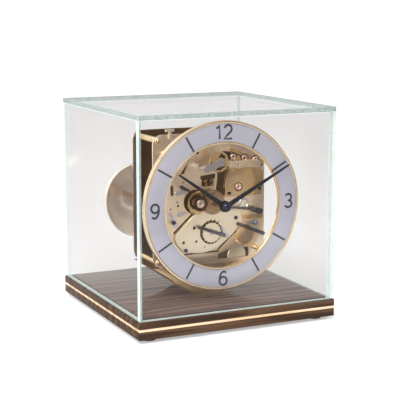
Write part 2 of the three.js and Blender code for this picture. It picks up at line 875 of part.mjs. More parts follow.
const balanceShape = new THREE.Shape();
balanceShape.absarc(0, 0, balanceRadius, 0, 2 * Math.PI);
addCrossings(balanceShape, 3, balanceRadius * 0.2, balanceRadius - 1.5, 1.3);
const balanceRim = new THREE.ExtrudeGeometry(balanceShape, {
  depth: balanceThickness,
  bevelEnabled: false,
  curveSegments: 20,
});
balanceRim.rotateX(Math.PI / 2).translate(0, balanceFront + balanceThickness, 0);
const balance = join(
  balanceRim,
  rod(finePivot, cockFront + 0.3, pivotFront + 1),
  rod(rollerRadius, escapeFront - 0.2, escapeFront + 1.2, 0, 0, 12),
);
add(movement, "balance_wheel", balance, "brass", balanceAt);
const hairspringOuter = 4.6;
const hairspring = coil(
  finePivot + contactGap,
  hairspringOuter,
  springTurns,
  0.3,
  hairspringFront,
  hairspringFront + hairspringDepth,
);
add(movement, "hairspring", hairspring, "steel", balanceAt);

// ---- Motion work and hands -----------------------------------------------------------------

const cannonRadius = 2.1;
const hourPipeRadius = 3;
const cannonOut = 2.6;
const cannonLength = 2.4;
const cannonRear = frontFace - cannonOut;
const minuteWheelFront = cannonRear - 2;
const hourWheelOut = 3.2;
const hourWheelFront = minuteWheelFront - hourWheelOut;
const hourRear = dialFront - hourHandClear;
const pipeSides = 12;

// A tube on the centre line with a bore that runs on the piece inside it.
function pipe(outer, boreRadius, front, rear) {
  return {
    outer: rod(outer, front, rear, 0, 0, pipeSides),
    bore: rod(boreRadius, front - 1, rear + 1, 0, 0, pipeSides),
  };
}

const fitted = (radius) => runningFit(radius, pipeSides);
const cannonPipe = pipe(cannonRadius, fitted(arborRadius), minuteRear - handThickness, cannonRear);
const cannon = cut(
  join(
    pinion(
      cannonTeeth,
      motionModule,
      gapPhase(cannonTeeth, towards(centre, minuteWheelAt)),
      cannonRear - cannonLength,
      cannonLength,
    ),
    cannonPipe.outer,
  ),
  cannonPipe.bore,
);
add(movement, "cannon_pinion", cannon, "steel");

const minuteWheel = join(
  wheel(minuteWheelTeeth, motionModule, towards(minuteWheelAt, centre), minuteWheelFront, 0),
  pinion(
    minutePinionTeeth,
    motionModule,
    towards(minuteWheelAt, centre),
    hourWheelFront - 0.4,
    minuteWheelFront - hourWheelFront + 1,
  ),
  rod(arborRadius, hourWheelFront - 1.4, pivotFront),
);
add(movement, "minute_wheel", minuteWheel, "brass", minuteWheelAt);

const hourPipe = pipe(hourPipeRadius, fitted(cannonRadius), hourRear - handThickness, hourWheelFront + 2);
const hourWheelPhase = gapPhase(hourWheelTeeth, towards(centre, minuteWheelAt));
const hourWheel = cut(
  join(
    wheel(hourWheelTeeth, motionModule, hourWheelPhase, hourWheelFront, 0),
    hourPipe.outer,
  ),
  hourPipe.bore,
);
add(movement, "hour_wheel", hourWheel, "brass");

const handRoot = 2.3;
const handTip = 0.8;
const hourBoss = 5;
const minuteBoss = 4.2;
const minuteBossProud = 1.6;

// A tapered hand with a round boss, drawn pointing up and turned clockwise to its rest angle.
function hand(length, bossRadius, bore, rear, bossFront) {
  const blade = polygon([[-handRoot, 0], [handRoot, 0], [handTip, length], [-handTip, length]]);
  const body = join(
    slab(blade, rear, rear - handThickness),
    rod(bossRadius, bossFront, rear, 0, 0, 16),
  );
  return cut(body, bore);
}

const hourBore = rod(fitted(hourPipeRadius), hourRear - 3, hourRear + 3, 0, 0, pipeSides);
const hourHand = add(
  movement,
  "hour_hand",
  hand(hourLength, hourBoss, hourBore, hourRear, hourRear - handThickness),
  "blued",
);
hourHand.rotation.y = THREE.MathUtils.degToRad(hourAngle);

const minuteBore = rod(
  fitted(cannonRadius),
  minuteRear - handThickness - 0.2,
  minuteRear + 3,
  0,
  0,
  pipeSides,
);
const minuteHand = add(
  movement,
  "minute_hand",
  hand(minuteLength, minuteBoss, minuteBore, minuteRear, minuteRear - handThickness - minuteBossProud),
  "blued",
);
minuteHand.rotation.y = THREE.MathUtils.degToRad(minuteAngle);

// ---- Strike train --------------------------------------------------------------------------

const strikeBarrel = barrel(
  towards(strikeBarrelAt, strikeSecondAt),
  strikeDrumFront,
  strikeDrumFront,
  strikeDrumRear,
  strikeDrumRear - wheelThickness,
);
add(movement, "strike_barrel", strikeBarrel, "brass", strikeBarrelAt);
const strikeSpring = coil(
  springInner,
  springOuter,
  springTurns,
  springStrip,
  strikeDrumFront + springClear,
  strikeDrumRear - wheelThickness - springClear,
);
add(movement, "strike_mainspring", strikeSpring, "steel", strikeBarrelAt);

const strikeRatchetFront = bridgeFront - contactGap - ratchetThickness;
const strikeWinding = windingArbor(strikeRatchetFront - arborProud);
add(movement, "strike_winding_arbor", strikeWinding, "steel", strikeBarrelAt);
add(movement, "strike_ratchet_wheel", ratchet(strikeRatchetFront), "steel", strikeBarrelAt);
const strikeClickAt = around(strikeBarrelAt, ratchetRadius + 5, -15);
const strikeClick = click(strikeBarrelAt, strikeClickAt, 25, strikeRatchetFront, bridgeFront - seat);
add(movement, "strike_click", strikeClick, "steel");

const strikeSecondIn = 6.4;
const strikeSecondFront = backInner - strikeSecondIn;
const liftPins = 6;
const liftPinCircle = rimInside(strikeSecondTeeth, trainModule);
const liftPinRadius = 0.7;
const strikeSecond = join(
  wheel(strikeSecondTeeth, trainModule, towards(strikeSecondAt, strikeThirdAt), strikeSecondFront),
  pinion(
    barrelPinionTeeth,
    barrelModule,
    gapPhase(barrelPinionTeeth, towards(strikeSecondAt, strikeBarrelAt)),
    strikeDrumFront + barrelThickness / 2 - pinionLength / 2,
  ),
  rod(arborRadius, pivotFront, pivotRear),
  ...Array.from({ length: liftPins }, (_, i) => {
    const spot = around([0, 0], liftPinCircle, (360 * i) / liftPins + 20);
    return rod(liftPinRadius, strikeSecondFront + 0.5, strikeSecondFront + 4, ...spot, 6);
  }),
);
add(movement, "strike_second_wheel", strikeSecond, "brass", strikeSecondAt);

const strikeThirdFront = strikeDrumRear - 2;
const strikeThird = join(
  wheel(strikeThirdTeeth, trainModule, towards(strikeThirdAt, flyAt), strikeThirdFront),
  pinion(
    strikeThirdPinionTeeth,
    trainModule,
    gapPhase(strikeThirdPinionTeeth, towards(strikeThirdAt, strikeSecondAt)),
    strikeSecondFront + wheelThickness / 2 - pinionLength / 2,
  ),
  rod(arborRadius, pivotFront, pivotRear),
);
add(movement, "strike_third_wheel", strikeThird, "brass", strikeThirdAt);

const flyHalf = 8.5;
const flyLength = 12;
const flyHalfThickness = 0.4;
const flyFront = strikeThirdFront + 6;
const fly = join(
  pinion(
    flyPinionTeeth,
    trainModule,
    gapPhase(flyPinionTeeth, towards(flyAt, strikeThirdAt)),
    strikeThirdFront + wheelThickness / 2 - pinionLength / 2,
  ),
  rod(arborRadius, pivotFront, pivotRear),
  box(-flyHalf, flyHalf, flyFront, flyFront + flyLength, -flyHalfThickness, flyHalfThickness),
);
add(movement, "fly", fly, "brass", flyAt);

// ---- Hammer and lifting lever --------------------------------------------------------------

const hammerHeadRadius = 3;
const hammerClear = 2.1;
const headAngle = -10;
const hammerArmThickness = 1.2;
const tailClear = 0.6;
const tailNose = 0.7;
const headOut = bellRadius - bellWall - hammerHeadRadius - hammerClear;
const headAt = around(bellAt, headOut, headAngle);
const hammerArmFront = backFace + 0.8;
const tailReach = Math.hypot(hammerAt[0] - strikeSecondAt[0], hammerAt[1] - strikeSecondAt[1]);
const tailLength = tailReach - liftPinCircle - liftPinRadius - tailClear - tailNose;
const tailEnd = around(hammerAt, tailLength, towards(hammerAt, strikeSecondAt));
const hammer = join(
  rod(arborRadius, pivotFront, hammerArmFront + hammerArmThickness, ...hammerAt),
  slab(link(hammerAt, headAt, 2.4, 1.6), hammerArmFront + hammerArmThickness, hammerArmFront),
  rod(1, hammerArmFront + 0.4, bellRim + 3, ...headAt, 8),
  rod(hammerHeadRadius, bellRim + 2, bellRim + 8, ...headAt, 12),
  slab(link(hammerAt, tailEnd, 2.2, tailNose), strikeSecondFront + 3.6, strikeSecondFront + 2.4),
);
add(movement, "hammer", hammer, "steel");

const leverRear = bridgeFront - 0.4;
const leverTip = [9, -5];
const leverElbow = [40, -9.6];
const leverThickness = 1;
const leverNib = 0.9;
const liftingLever = join(
  slab(link(leverAt, leverElbow, 2.6, 2.2), leverRear, leverRear - leverThickness),
  slab(link(leverElbow, leverTip, leverNib, leverNib), leverRear, leverRear - leverThickness),
  rod(arborRadius, leverRear - leverThickness - pivotShort, pivotFront, ...leverAt),
);
add(movement, "lifting_lever", liftingLever, "steel");

export default clock;
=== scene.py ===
import math

import bmesh
import bpy
from mathutils import Matrix, Vector


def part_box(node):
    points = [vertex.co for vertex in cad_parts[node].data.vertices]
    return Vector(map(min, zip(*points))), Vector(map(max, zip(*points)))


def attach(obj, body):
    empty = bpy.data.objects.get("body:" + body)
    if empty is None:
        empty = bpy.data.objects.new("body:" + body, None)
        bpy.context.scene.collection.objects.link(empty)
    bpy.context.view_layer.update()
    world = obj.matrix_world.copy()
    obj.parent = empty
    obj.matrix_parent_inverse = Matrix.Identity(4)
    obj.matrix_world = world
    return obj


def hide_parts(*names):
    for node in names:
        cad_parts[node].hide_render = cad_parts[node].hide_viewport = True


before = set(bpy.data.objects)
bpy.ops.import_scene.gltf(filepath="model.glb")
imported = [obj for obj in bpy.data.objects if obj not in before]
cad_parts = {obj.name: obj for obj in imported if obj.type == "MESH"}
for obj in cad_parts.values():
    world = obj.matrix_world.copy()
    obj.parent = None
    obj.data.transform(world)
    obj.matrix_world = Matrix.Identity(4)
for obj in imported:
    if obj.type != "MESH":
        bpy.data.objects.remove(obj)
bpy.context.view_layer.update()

# ---- Feet ----------------------------------------------------------------------------------
# Four low pads under the corners of the base, turned from hard black rubber.
# Each is screwed up into the underside, and its rim is eased so that it slides without biting.

mm = 0.001


def faces_to_mesh(name, shape, materials, sharp=35):
    """A mesh object at the origin from a bmesh, smooth but for edges of more than sharp degrees."""
    bmesh.ops.remove_doubles(shape, verts=shape.verts, dist=1e-6)
    bmesh.ops.recalc_face_normals(shape, faces=shape.faces)
    for face in shape.faces:
        face.smooth = True
    for edge in shape.edges:
        edge.smooth = len(edge.link_faces) == 2 and edge.calc_face_angle(0) < math.radians(sharp)
    mesh = bpy.data.meshes.new(name)
    shape.to_mesh(mesh)
    shape.free()
    for material in materials:
        mesh.materials.append(material)
    made = bpy.data.objects.new(name, mesh)
    bpy.context.scene.collection.objects.link(made)
    return made


def fit(made, body, stands_for=()):
    """Mounts a finished piece on a body, and hides the nodes that it stands for."""
    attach(made, body)
    if stands_for:
        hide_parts(*stands_for)
    return made


def middle(node):
    low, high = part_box(node)
    return (low + high) / 2


def turn(profile, centre, axis=(0, 1, 0), steps=48):
    """A bmesh turned from [radius, distance along the axis] points about a line through centre."""
    shape = bmesh.new()
    axis = Vector(axis)
    across = axis.orthogonal().normalized()
    points = [shape.verts.new(Vector(centre) + across * r * mm + axis * a * mm) for r, a in profile]
    edges = [shape.edges.new(pair) for pair in zip(points, points[1:])]
    bmesh.ops.spin(
        shape, geom=points + edges, cent=centre, axis=axis, angle=math.tau, steps=steps, use_merge=True
    )
    bmesh.ops.remove_doubles(shape, verts=shape.verts, dist=1e-6)
    return shape


def shader(name):
    """A new material with its Principled node and a function that adds and links nodes."""
    material = bpy.data.materials.new(name)
    material.use_nodes = True
    nodes = material.node_tree.nodes
    links = material.node_tree.links
    surface = nodes["Principled BSDF"]

    def add(kind, inputs=None, **settings):
        node = nodes.new(kind)
        for key, value in settings.items():
            setattr(node, key, value)
        for key, value in (inputs or {}).items():
            if isinstance(value, bpy.types.NodeSocket):
                links.new(value, node.inputs[key])
            else:
                node.inputs[key].default_value = value
        return node

    return material, surface, add, links


def ramp(add, value, stops):
    """A colour ramp driven by value, with (position, colour) stops."""
    node = add("ShaderNodeValToRGB", {"Fac": value})
    elements = node.color_ramp.elements
    while len(elements) < len(stops):
        elements.new(0.5)
    for element, (position, colour) in zip(elements, stops):
        element.position = position
        element.color = (*colour, 1)
    return node.outputs["Color"]


def rubber_finish():
    material, surface, add, links = shader("foot_rubber")
    place = add("ShaderNodeTexCoord").outputs["Object"]
    grit = add("ShaderNodeTexNoise", {"Vector": place, "Scale": 1400, "Detail": 4}).outputs["Fac"]
    links.new(ramp(add, grit, [(0.3, (0.008, 0.008, 0.009)), (0.7, (0.02, 0.02, 0.021))]),
              surface.inputs["Base Color"])
    worn = add("ShaderNodeMapRange", {"Value": grit, "To Min": 0.5, "To Max": 0.75})
    links.new(worn.outputs["Result"], surface.inputs["Roughness"])
    bump = add("ShaderNodeBump", {"Height": grit, "Strength": 0.3, "Distance": 0.0001})
    links.new(bump.outputs["Normal"], surface.inputs["Normal"])
    return material


foot_rubber = rubber_finish()
foot_names = [f"foot_{end}_{side}" for end in ("front", "rear") for side in ("left", "right")]
foot_ease, foot_inset, foot_crown = 0.5, 1.2, 0.1
for name in foot_names:
    low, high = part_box(name)
    height = (high.z - low.z) / mm
    radius = (high.x - low.x) / 2 / mm
    profile = [
        [0, 0], [radius - foot_inset, 0], [radius - foot_ease, foot_crown], [radius, foot_ease],
        [radius, height], [0, height],
    ]
    seat = Vector((middle(name).x, middle(name).y, low.z))
    pad = faces_to_mesh("pad_" + name, turn(profile, seat, (0, 0, 1)), [foot_rubber])
    fit(pad, "frame", [name])

# ---- Base boards ---------------------------------------------------------------------------
# Two walnut-veneered boards with a maple line glued between them, the edges sanded to a fine
# bevel and oiled. A thinner lacquered board on top keys into the foot of the glass cover.


def block(node, bevel, segments=2):
    """A bmesh box with a node's size and place, and eased edges."""
    low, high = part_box(node)
    shape = bmesh.new()
    bmesh.ops.create_cube(shape, size=1)
    bmesh.ops.scale(shape, vec=high - low, verts=shape.verts)
    bmesh.ops.translate(shape, vec=(low + high) / 2, verts=shape.verts)
    bmesh.ops.bevel(
        shape, geom=shape.edges[:], offset=bevel * mm, segments=segments, affect="EDGES", profile=0.5,
        material=-1
    )
    return shape


def wood(name, dark, mid, light, gloss, coat, figure=1.0):
    """Straight-grained timber along X: growth bands, fine fibres and open pores."""
    material, surface, add, links = shader(name)
    place = add("ShaderNodeTexCoord").outputs["Object"]
    board = add("ShaderNodeMapping", {"Vector": place, "Scale": (3, 26, 60)}).outputs["Vector"]
    sway = add("ShaderNodeTexNoise", {"Vector": board, "Scale": 1.2, "Detail": 3}).outputs["Color"]
    pulled = add("ShaderNodeVectorMath", {0: board, 1: sway}, operation="ADD").outputs["Vector"]
    bands = add("ShaderNodeTexWave", {"Vector": pulled, "Scale": 1.1, "Distortion": 5.0, "Detail": 3,
                                      "Detail Scale": 1.6}, bands_direction="Y").outputs["Fac"]
    fibre_place = add("ShaderNodeMapping", {"Vector": place, "Scale": (18, 900, 900)}).outputs["Vector"]
    fibres = add("ShaderNodeTexNoise", {"Vector": fibre_place, "Scale": 1, "Detail": 5}).outputs["Fac"]
    pore_place = add("ShaderNodeMapping", {"Vector": place, "Scale": (90, 2600, 2600)}).outputs["Vector"]
    pores = add("ShaderNodeTexVoronoi", {"Vector": pore_place, "Scale": 1}).outputs["Distance"]
    open_pores = add("ShaderNodeMapRange", {
        "Value": pores, "From Min": 0.05, "From Max": 0.25
    }).outputs["Result"]
    mixed = add("ShaderNodeMix", {0: 0.45, 2: bands, 3: fibres}, data_type="FLOAT").outputs[0]
    tone = ramp(add, mixed, [(0.2, dark), (0.5, mid), (0.8, light)])
    shade = add("ShaderNodeMix", {"Factor": open_pores, "A": (*[c * 0.45 for c in dark], 1), "B": tone},
                data_type="RGBA")
    links.new(shade.outputs["Result"], surface.inputs["Base Color"])
    rough = add("ShaderNodeMapRange", {"Value": fibres, "To Min": gloss, "To Max": gloss + 0.12})
    links.new(rough.outputs["Result"], surface.inputs["Roughness"])
    bump = add("ShaderNodeBump", {"Height": open_pores, "Strength": 0.15 * figure, "Distance": 0.0001})
    links.new(bump.outputs["Normal"], surface.inputs["Normal"])
    surface.inputs["Specular IOR Level"].default_value = 0.15
    surface.inputs["Coat Weight"].default_value = coat
    surface.inputs["Coat Roughness"].default_value = 0.03
    return material


walnut = wood("walnut", (0.024, 0.012, 0.006), (0.046, 0.023, 0.012), (0.082, 0.045, 0.024), 0.5, 0.0)
maple = wood("maple_line", (0.46, 0.29, 0.17), (0.60, 0.41, 0.26), (0.70, 0.51, 0.35), 0.45, 0.0)
lacquered = wood("lacquered_walnut", (0.065, 0.040, 0.031), (0.115, 0.073, 0.057),
                 (0.16, 0.107, 0.084), 0.5, 0.45, 0.05)
board_ease, line_ease, key_ease = 0.5, 0.12, 0.4
lower_board = faces_to_mesh("lower_board", block("base_lower_board", board_ease), [walnut])
fit(lower_board, "frame", ["base_lower_board"])
upper_board = faces_to_mesh("upper_board", block("base_upper_board", board_ease), [walnut])
fit(upper_board, "frame", ["base_upper_board"])
inlay_line = faces_to_mesh("inlay_line", block("base_inlay", line_ease, 1), [maple])
fit(inlay_line, "frame", ["base_inlay"])
key_board = faces_to_mesh("key_board", block("cover_locating_panel", key_ease), [lacquered])
fit(key_board, "frame", ["cover_locating_panel"])

# ---- Glass cover ---------------------------------------------------------------------------
# Five panes of 4 mm float glass bonded edge to edge, with ground and polished rims. The faces
# are clear; the rims show the glass's own green, least at the rear; the top rims are painted shade.
# The cover lifts straight off the base.


def pane_finish():
    clear, surface, add, links = shader("clear_glass")
    place = add("ShaderNodeTexCoord").outputs["Object"]
    waves = add("ShaderNodeTexNoise", {"Vector": place, "Scale": 9, "Detail": 1}).outputs["Fac"]
    through_tint = ramp(add, waves, [(0.3, (0.905, 0.904, 0.903)), (0.7, (0.918, 0.917, 0.916))])
    through = add("ShaderNodeBsdfTransparent", {"Color": through_tint})
    mirror = add("ShaderNodeBsdfGlossy", {"Color": (1, 1, 1, 1), "Roughness": 0.02})
    edge_on = add("ShaderNodeLayerWeight", {"Blend": 0.5}).outputs["Facing"]
    steep = add("ShaderNodeMath", {0: edge_on, 1: 4.0}, operation="POWER").outputs["Value"]
    gloss = add("ShaderNodeMapRange", {"Value": steep, "To Min": 0.015, "To Max": 0.14}).outputs["Result"]
    both = add("ShaderNodeMixShader", {0: gloss, 1: through.outputs["BSDF"], 2: mirror.outputs["BSDF"]})
    out = [n for n in clear.node_tree.nodes if n.type == "OUTPUT_MATERIAL"][0]
    links.new(both.outputs["Shader"], out.inputs["Surface"])
    clear.node_tree.nodes.remove(surface)
    return clear


def rim_finish(name, deep, pale, clearness):
    rim, surface, add, links = shader(name)
    place = add("ShaderNodeTexCoord").outputs["Object"]
    ground = add("ShaderNodeTexNoise", {"Vector": place, "Scale": 300, "Detail": 4}).outputs["Fac"]
    body = add("ShaderNodeBsdfDiffuse", {"Color": ramp(add, ground, [(0.3, deep), (0.7, pale)])})
    mirror = add("ShaderNodeBsdfGlossy", {"Color": (0.9, 1, 0.96, 1), "Roughness": 0.08})
    through = add("ShaderNodeBsdfTransparent", {"Color": (0.88, 0.94, 0.92, 1)})
    shine = add("ShaderNodeMixShader", {0: 0.15, 1: body.outputs["BSDF"], 2: mirror.outputs["BSDF"]})
    both = add("ShaderNodeMixShader", {
        0: clearness, 1: shine.outputs["Shader"], 2: through.outputs["BSDF"]
    })
    out = [n for n in rim.node_tree.nodes if n.type == "OUTPUT_MATERIAL"][0]
    links.new(both.outputs["Shader"], out.inputs["Surface"])
    rim.node_tree.nodes.remove(surface)
    return rim


clear_glass = pane_finish()
glass_rim = rim_finish("glass_rim", (0.52, 0.61, 0.58), (0.68, 0.77, 0.74), 0.4)
rear_rim = rim_finish("glass_rear_rim", (0.48, 0.58, 0.55), (0.64, 0.74, 0.71), 0.85)
# The top rims are painted much darker than the other rims, as painted shade.
painted_shade_top_rim = rim_finish("glass_top_rim", (0.15, 0.19, 0.18), (0.27, 0.33, 0.315), 0.25)
pane_normals = {
    "glass_front": (0, 1, 0),
    "glass_rear": (0, 1, 0),
    "glass_left": (1, 0, 0),
    "glass_right": (1, 0, 0),
    "glass_top": (0, 0, 1),
}
pane_ease, pane_sharp = 0.4, 10
rear_from = 80 * mm
for name, across in pane_normals.items():
    shape = block(name, pane_ease, 1)
    shape.normal_update()
    for face in shape.faces:
        upright = abs(face.normal.z) < 0.5 and name != "glass_top"
        if abs(face.normal.dot(Vector(across))) > 0.99:
            face.material_index = 0
        elif upright and face.calc_center_median().y > rear_from:
            face.material_index = 2
        else:
            face.material_index = 1
    rim = painted_shade_top_rim if name == "glass_top" else glass_rim
    side = name.removeprefix("glass_")
    pane = faces_to_mesh("pane_" + side, shape, [clear_glass, rim, rear_rim], pane_sharp)
    fit(pane, "cover", [name])

# ---- Plates, stand and bridges -------------------------------------------------------------
# Two 2 mm brass plates held apart by pillars, on a folded brass stand. The bridges are screwed
# to the front plate. The brass is sawn out, filed to a fine bevel and lacquered over a straight
# grain, and the balance cock is of polished steel.


def brass(name, deep, pale, roughness, grain=(300, 300, 7000)):
    """Polished or grained metal: a little uneven in colour, with fine tool lines in its gloss."""
    material, surface, add, links = shader(name)
    place = add("ShaderNodeTexCoord").outputs["Object"]
    cloud = add("ShaderNodeTexNoise", {"Vector": place, "Scale": 35, "Detail": 3}).outputs["Fac"]
    links.new(ramp(add, cloud, [(0.3, deep), (0.7, pale)]), surface.inputs["Base Color"])
    lines_place = add("ShaderNodeMapping", {"Vector": place, "Scale": grain}).outputs["Vector"]
    lines = add("ShaderNodeTexNoise", {"Vector": lines_place, "Scale": 1, "Detail": 4}).outputs["Fac"]
    rough = add("ShaderNodeMapRange", {"Value": lines, "From Min": 0.3, "From Max": 0.7,
                                       "To Min": roughness * 0.85, "To Max": roughness * 1.15})
    links.new(rough.outputs["Result"], surface.inputs["Roughness"])
    bump = add("ShaderNodeBump", {"Height": lines, "Strength": 0.012, "Distance": 0.00005})
    links.new(bump.outputs["Normal"], surface.inputs["Normal"])
    surface.inputs["Metallic"].default_value = 1
    return material


plate_brass = brass("plate_brass", (0.84, 0.66, 0.46), (0.95, 0.81, 0.61), 0.3)
cream_brass = brass("cream_brass", (0.90, 0.77, 0.56), (0.97, 0.87, 0.68), 0.36)
yellow_brass = brass("yellow_brass", (0.62, 0.42, 0.20), (0.82, 0.62, 0.36), 0.24)
# A dark brown brass that is painted shade, on the back plate's inner face and behind the lower window.
painted_shade_brass = brass("painted_shade_brass", (0.15, 0.09, 0.045), (0.27, 0.17, 0.085), 0.36)
rose_brass = brass("rose_brass", (0.80, 0.62, 0.50), (0.92, 0.76, 0.64), 0.26)
wheel_brass = brass("wheel_brass", (0.72, 0.50, 0.22), (0.88, 0.68, 0.38), 0.2, (900, 900, 900))
steel = brass("polished_steel", (0.50, 0.50, 0.52), (0.68, 0.68, 0.70), 0.22, (80, 80, 1800))


def machined(node, ease, materials, pick=None, sharp=30):
    """A copy of a node's mesh with its flat faces made whole and its edges eased.

    A face takes the second material where pick holds at every one of its corners."""
    shape = bmesh.new()
    shape.from_mesh(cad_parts[node].data)
    bmesh.ops.remove_doubles(shape, verts=shape.verts, dist=2e-6)
    bmesh.ops.dissolve_limit(
        shape, angle_limit=math.radians(1), verts=shape.verts, edges=shape.edges,
        use_dissolve_boundaries=False
    )
    edges = [
        e for e in shape.edges if len(e.link_faces) == 2 and e.calc_face_angle(0) > math.radians(sharp)
    ]
    bmesh.ops.bevel(
        shape, geom=edges, offset=ease * mm, segments=1, affect="EDGES", profile=0.5, material=-1,
        clamp_overlap=True
    )
    shape.normal_update()
    if pick:
        for face in shape.faces:
            face.material_index = int(all(pick(v.co) for v in face.verts))
    return faces_to_mesh("made_" + node, shape, materials)


plate_ease = 0.25
for node, finish, slot in [
    ("front_plate", plate_brass, "pale_brass"),
    ("movement_stand", yellow_brass, "brass"),
    ("strike_bridge", cream_brass, "pale_brass"),
    ("train_bridge", yellow_brass, "brass"),
    ("escapement_bridge", plate_brass, "brass"),
    ("balance_cock", steel, "steel"),
]:
    fit(machined(node, plate_ease, [finish]), "frame", [node])

# The back plate's side that faces the train is painted dark brown as painted shade.
made = machined("back_plate", plate_ease, [painted_shade_brass, rose_brass])
for face in made.data.polygons:
    face.material_index = 0 if face.normal.y < -0.9 else 1
fit(made, "frame", ["back_plate"])

# ---- Pillars and posts ---------------------------------------------------------------------
# The plates stand on four turned brass pillars, shouldered and nutted outside both plates. Four
# slimmer turned posts carry the ring dial in front of the movement.

thread, collar, neck, shaft = 1.8, 3.0, 2.3, 2.8
chamfer, gap = 0.4, 0.05
collar_end, neck_start, neck_end, shaft_start = 3.0, 3.6, 4.6, 5.2
post_collar, post_step, post_shaft = 1.6, 2.0, 2.4
for corner in ("upper_left", "upper_right", "lower_left", "lower_right"):
    node = "pillar_" + corner
    low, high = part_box(node)
    front = (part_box("front_plate")[1].y - low.y) / mm
    back = (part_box("back_plate")[0].y - low.y) / mm
    end = (high.y - low.y) / mm
    profile = [
        [0, 0], [thread - chamfer, 0], [thread, chamfer], [thread, front + gap], [collar, front + gap],
        [collar, front + collar_end], [neck, front + neck_start], [neck, front + neck_end],
        [shaft, front + shaft_start], [shaft, back - shaft_start], [neck, back - neck_end],
        [neck, back - neck_start], [collar, back - collar_end], [collar, back - gap],
        [thread, back - gap], [thread, end - chamfer], [thread - chamfer, end], [0, end],
    ]
    where = Vector((middle(node).x, low.y, middle(node).z))
    fit(faces_to_mesh("turned_" + node, turn(profile, where), [wheel_brass]), "frame", [node])

    node = "dial_post_" + corner
    low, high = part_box(node)
    length = (high.y - low.y) / mm
    radius = (high.x - low.x) / 2 / mm
    profile = [
        [0, 0], [radius, 0], [radius, post_collar], [radius - chamfer, post_step],
        [radius - chamfer, length - post_shaft], [radius, length - post_step], [radius, length],
        [0, length],
    ]
    where = Vector((middle(node).x, low.y, middle(node).z))
    post = faces_to_mesh("turned_" + node, turn(profile, where, steps=32), [wheel_brass])
    fit(post, "frame", [node])

# ---- Ring dial -----------------------------------------------------------------------------
# A silvered brass ring, matt and slightly blue, held between a polished bezel and a thin inner
# ring. The numerals and the hour lines are printed on it in black.


def silvered_finish():
    material, surface, add, links = shader("silvered_dial")
    place = add("ShaderNodeTexCoord").outputs["Object"]
    cloud = add("ShaderNodeTexNoise", {"Vector": place, "Scale": 14, "Detail": 2}).outputs["Fac"]
    links.new(ramp(add, cloud, [(0.3, (0.42, 0.42, 0.50)), (0.7, (0.50, 0.50, 0.575))]),
              surface.inputs["Base Color"])
    grain = add("ShaderNodeTexNoise", {"Vector": place, "Scale": 2600, "Detail": 3}).outputs["Fac"]
    rough = add("ShaderNodeMapRange", {"Value": grain, "To Min": 0.36, "To Max": 0.5})
    links.new(rough.outputs["Result"], surface.inputs["Roughness"])
    bump = add("ShaderNodeBump", {"Height": grain, "Strength": 0.08, "Distance": 0.00005})
    links.new(bump.outputs["Normal"], surface.inputs["Normal"])
    surface.inputs["Metallic"].default_value = 0.35
    return material


def ink_finish():
    material, surface, add, links = shader("dial_ink")
    place = add("ShaderNodeTexCoord").outputs["Object"]
    grain = add("ShaderNodeTexNoise", {"Vector": place, "Scale": 3000, "Detail": 2}).outputs["Fac"]
    links.new(ramp(add, grain, [(0.3, (0.018, 0.020, 0.028)), (0.7, (0.035, 0.037, 0.046))]),
              surface.inputs["Base Color"])
    rough = add("ShaderNodeMapRange", {"Value": grain, "To Min": 0.45, "To Max": 0.6})
    links.new(rough.outputs["Result"], surface.inputs["Roughness"])
    return material


silvered = silvered_finish()
ink = ink_finish()
bezel_brass = brass("bezel_brass", (0.84, 0.66, 0.42), (0.95, 0.80, 0.58), 0.16, (900, 900, 900))
dial_centre = middle("dial_ring")


def ring(node, ease, material):
    """A turned ring with a node's radii and depth, its front edges rounded."""
    low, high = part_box(node)
    outer = (high.x - low.x) / 2 / mm
    inner = min(math.hypot(v.co.x - dial_centre.x, v.co.z - dial_centre.z)
                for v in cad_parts[node].data.vertices) / mm
    depth = (high.y - low.y) / mm
    corner = ease * 0.3
    profile = [
        [inner, depth], [inner, ease], [inner + corner, corner], [inner + ease, 0], [outer - ease, 0],
        [outer - corner, corner], [outer, ease], [outer, depth], [inner, depth],
    ]
    where = Vector((dial_centre.x, low.y, dial_centre.z))
    made = faces_to_mesh("turned_" + node, turn(profile, where, steps=128), [material])
    fit(made, "frame", [node])
    return inner, low.y


ring_inner, face_level = ring("dial_ring", 0.15, silvered)
ring("dial_bezel", 0.7, bezel_brass)
ring("dial_inner_ring", 0.5, bezel_brass)

ink_thickness = 0.06 * mm
line_from, line_to, line_width = ring_inner + 0.2, 69.0, 1.7
for hour in range(1, 13):
    if hour % 3 == 0:
        continue
    shape = bmesh.new()
    bmesh.ops.create_cube(shape, size=1)
    line_size = (line_width * mm, ink_thickness, (line_to - line_from) * mm)
    bmesh.ops.scale(shape, vec=line_size, verts=shape.verts)
    bmesh.ops.translate(
        shape, vec=(0, face_level - ink_thickness / 2, (line_from + line_to) / 2 * mm), verts=shape.verts
    )
    turned_to_hour = Matrix.Rotation(math.radians(30 * hour), 3, "Y")
    bmesh.ops.rotate(shape, cent=(0, 0, 0), matrix=turned_to_hour, verts=shape.verts)
    bmesh.ops.translate(shape, vec=(dial_centre.x, 0, dial_centre.z), verts=shape.verts)
    fit(faces_to_mesh(f"hour_line_{hour:02d}", shape, [ink]), "frame")


def arc(x, y, across, up, start, end, steps=18):
    """Points on an ellipse's arc, in numeral heights, from start to end degrees."""
    return [
        (x + across * math.cos(math.radians(start + (end - start) * i / steps)),
         y + up * math.sin(math.radians(start + (end - start) * i / steps)))
        for i in range(steps + 1)
    ]


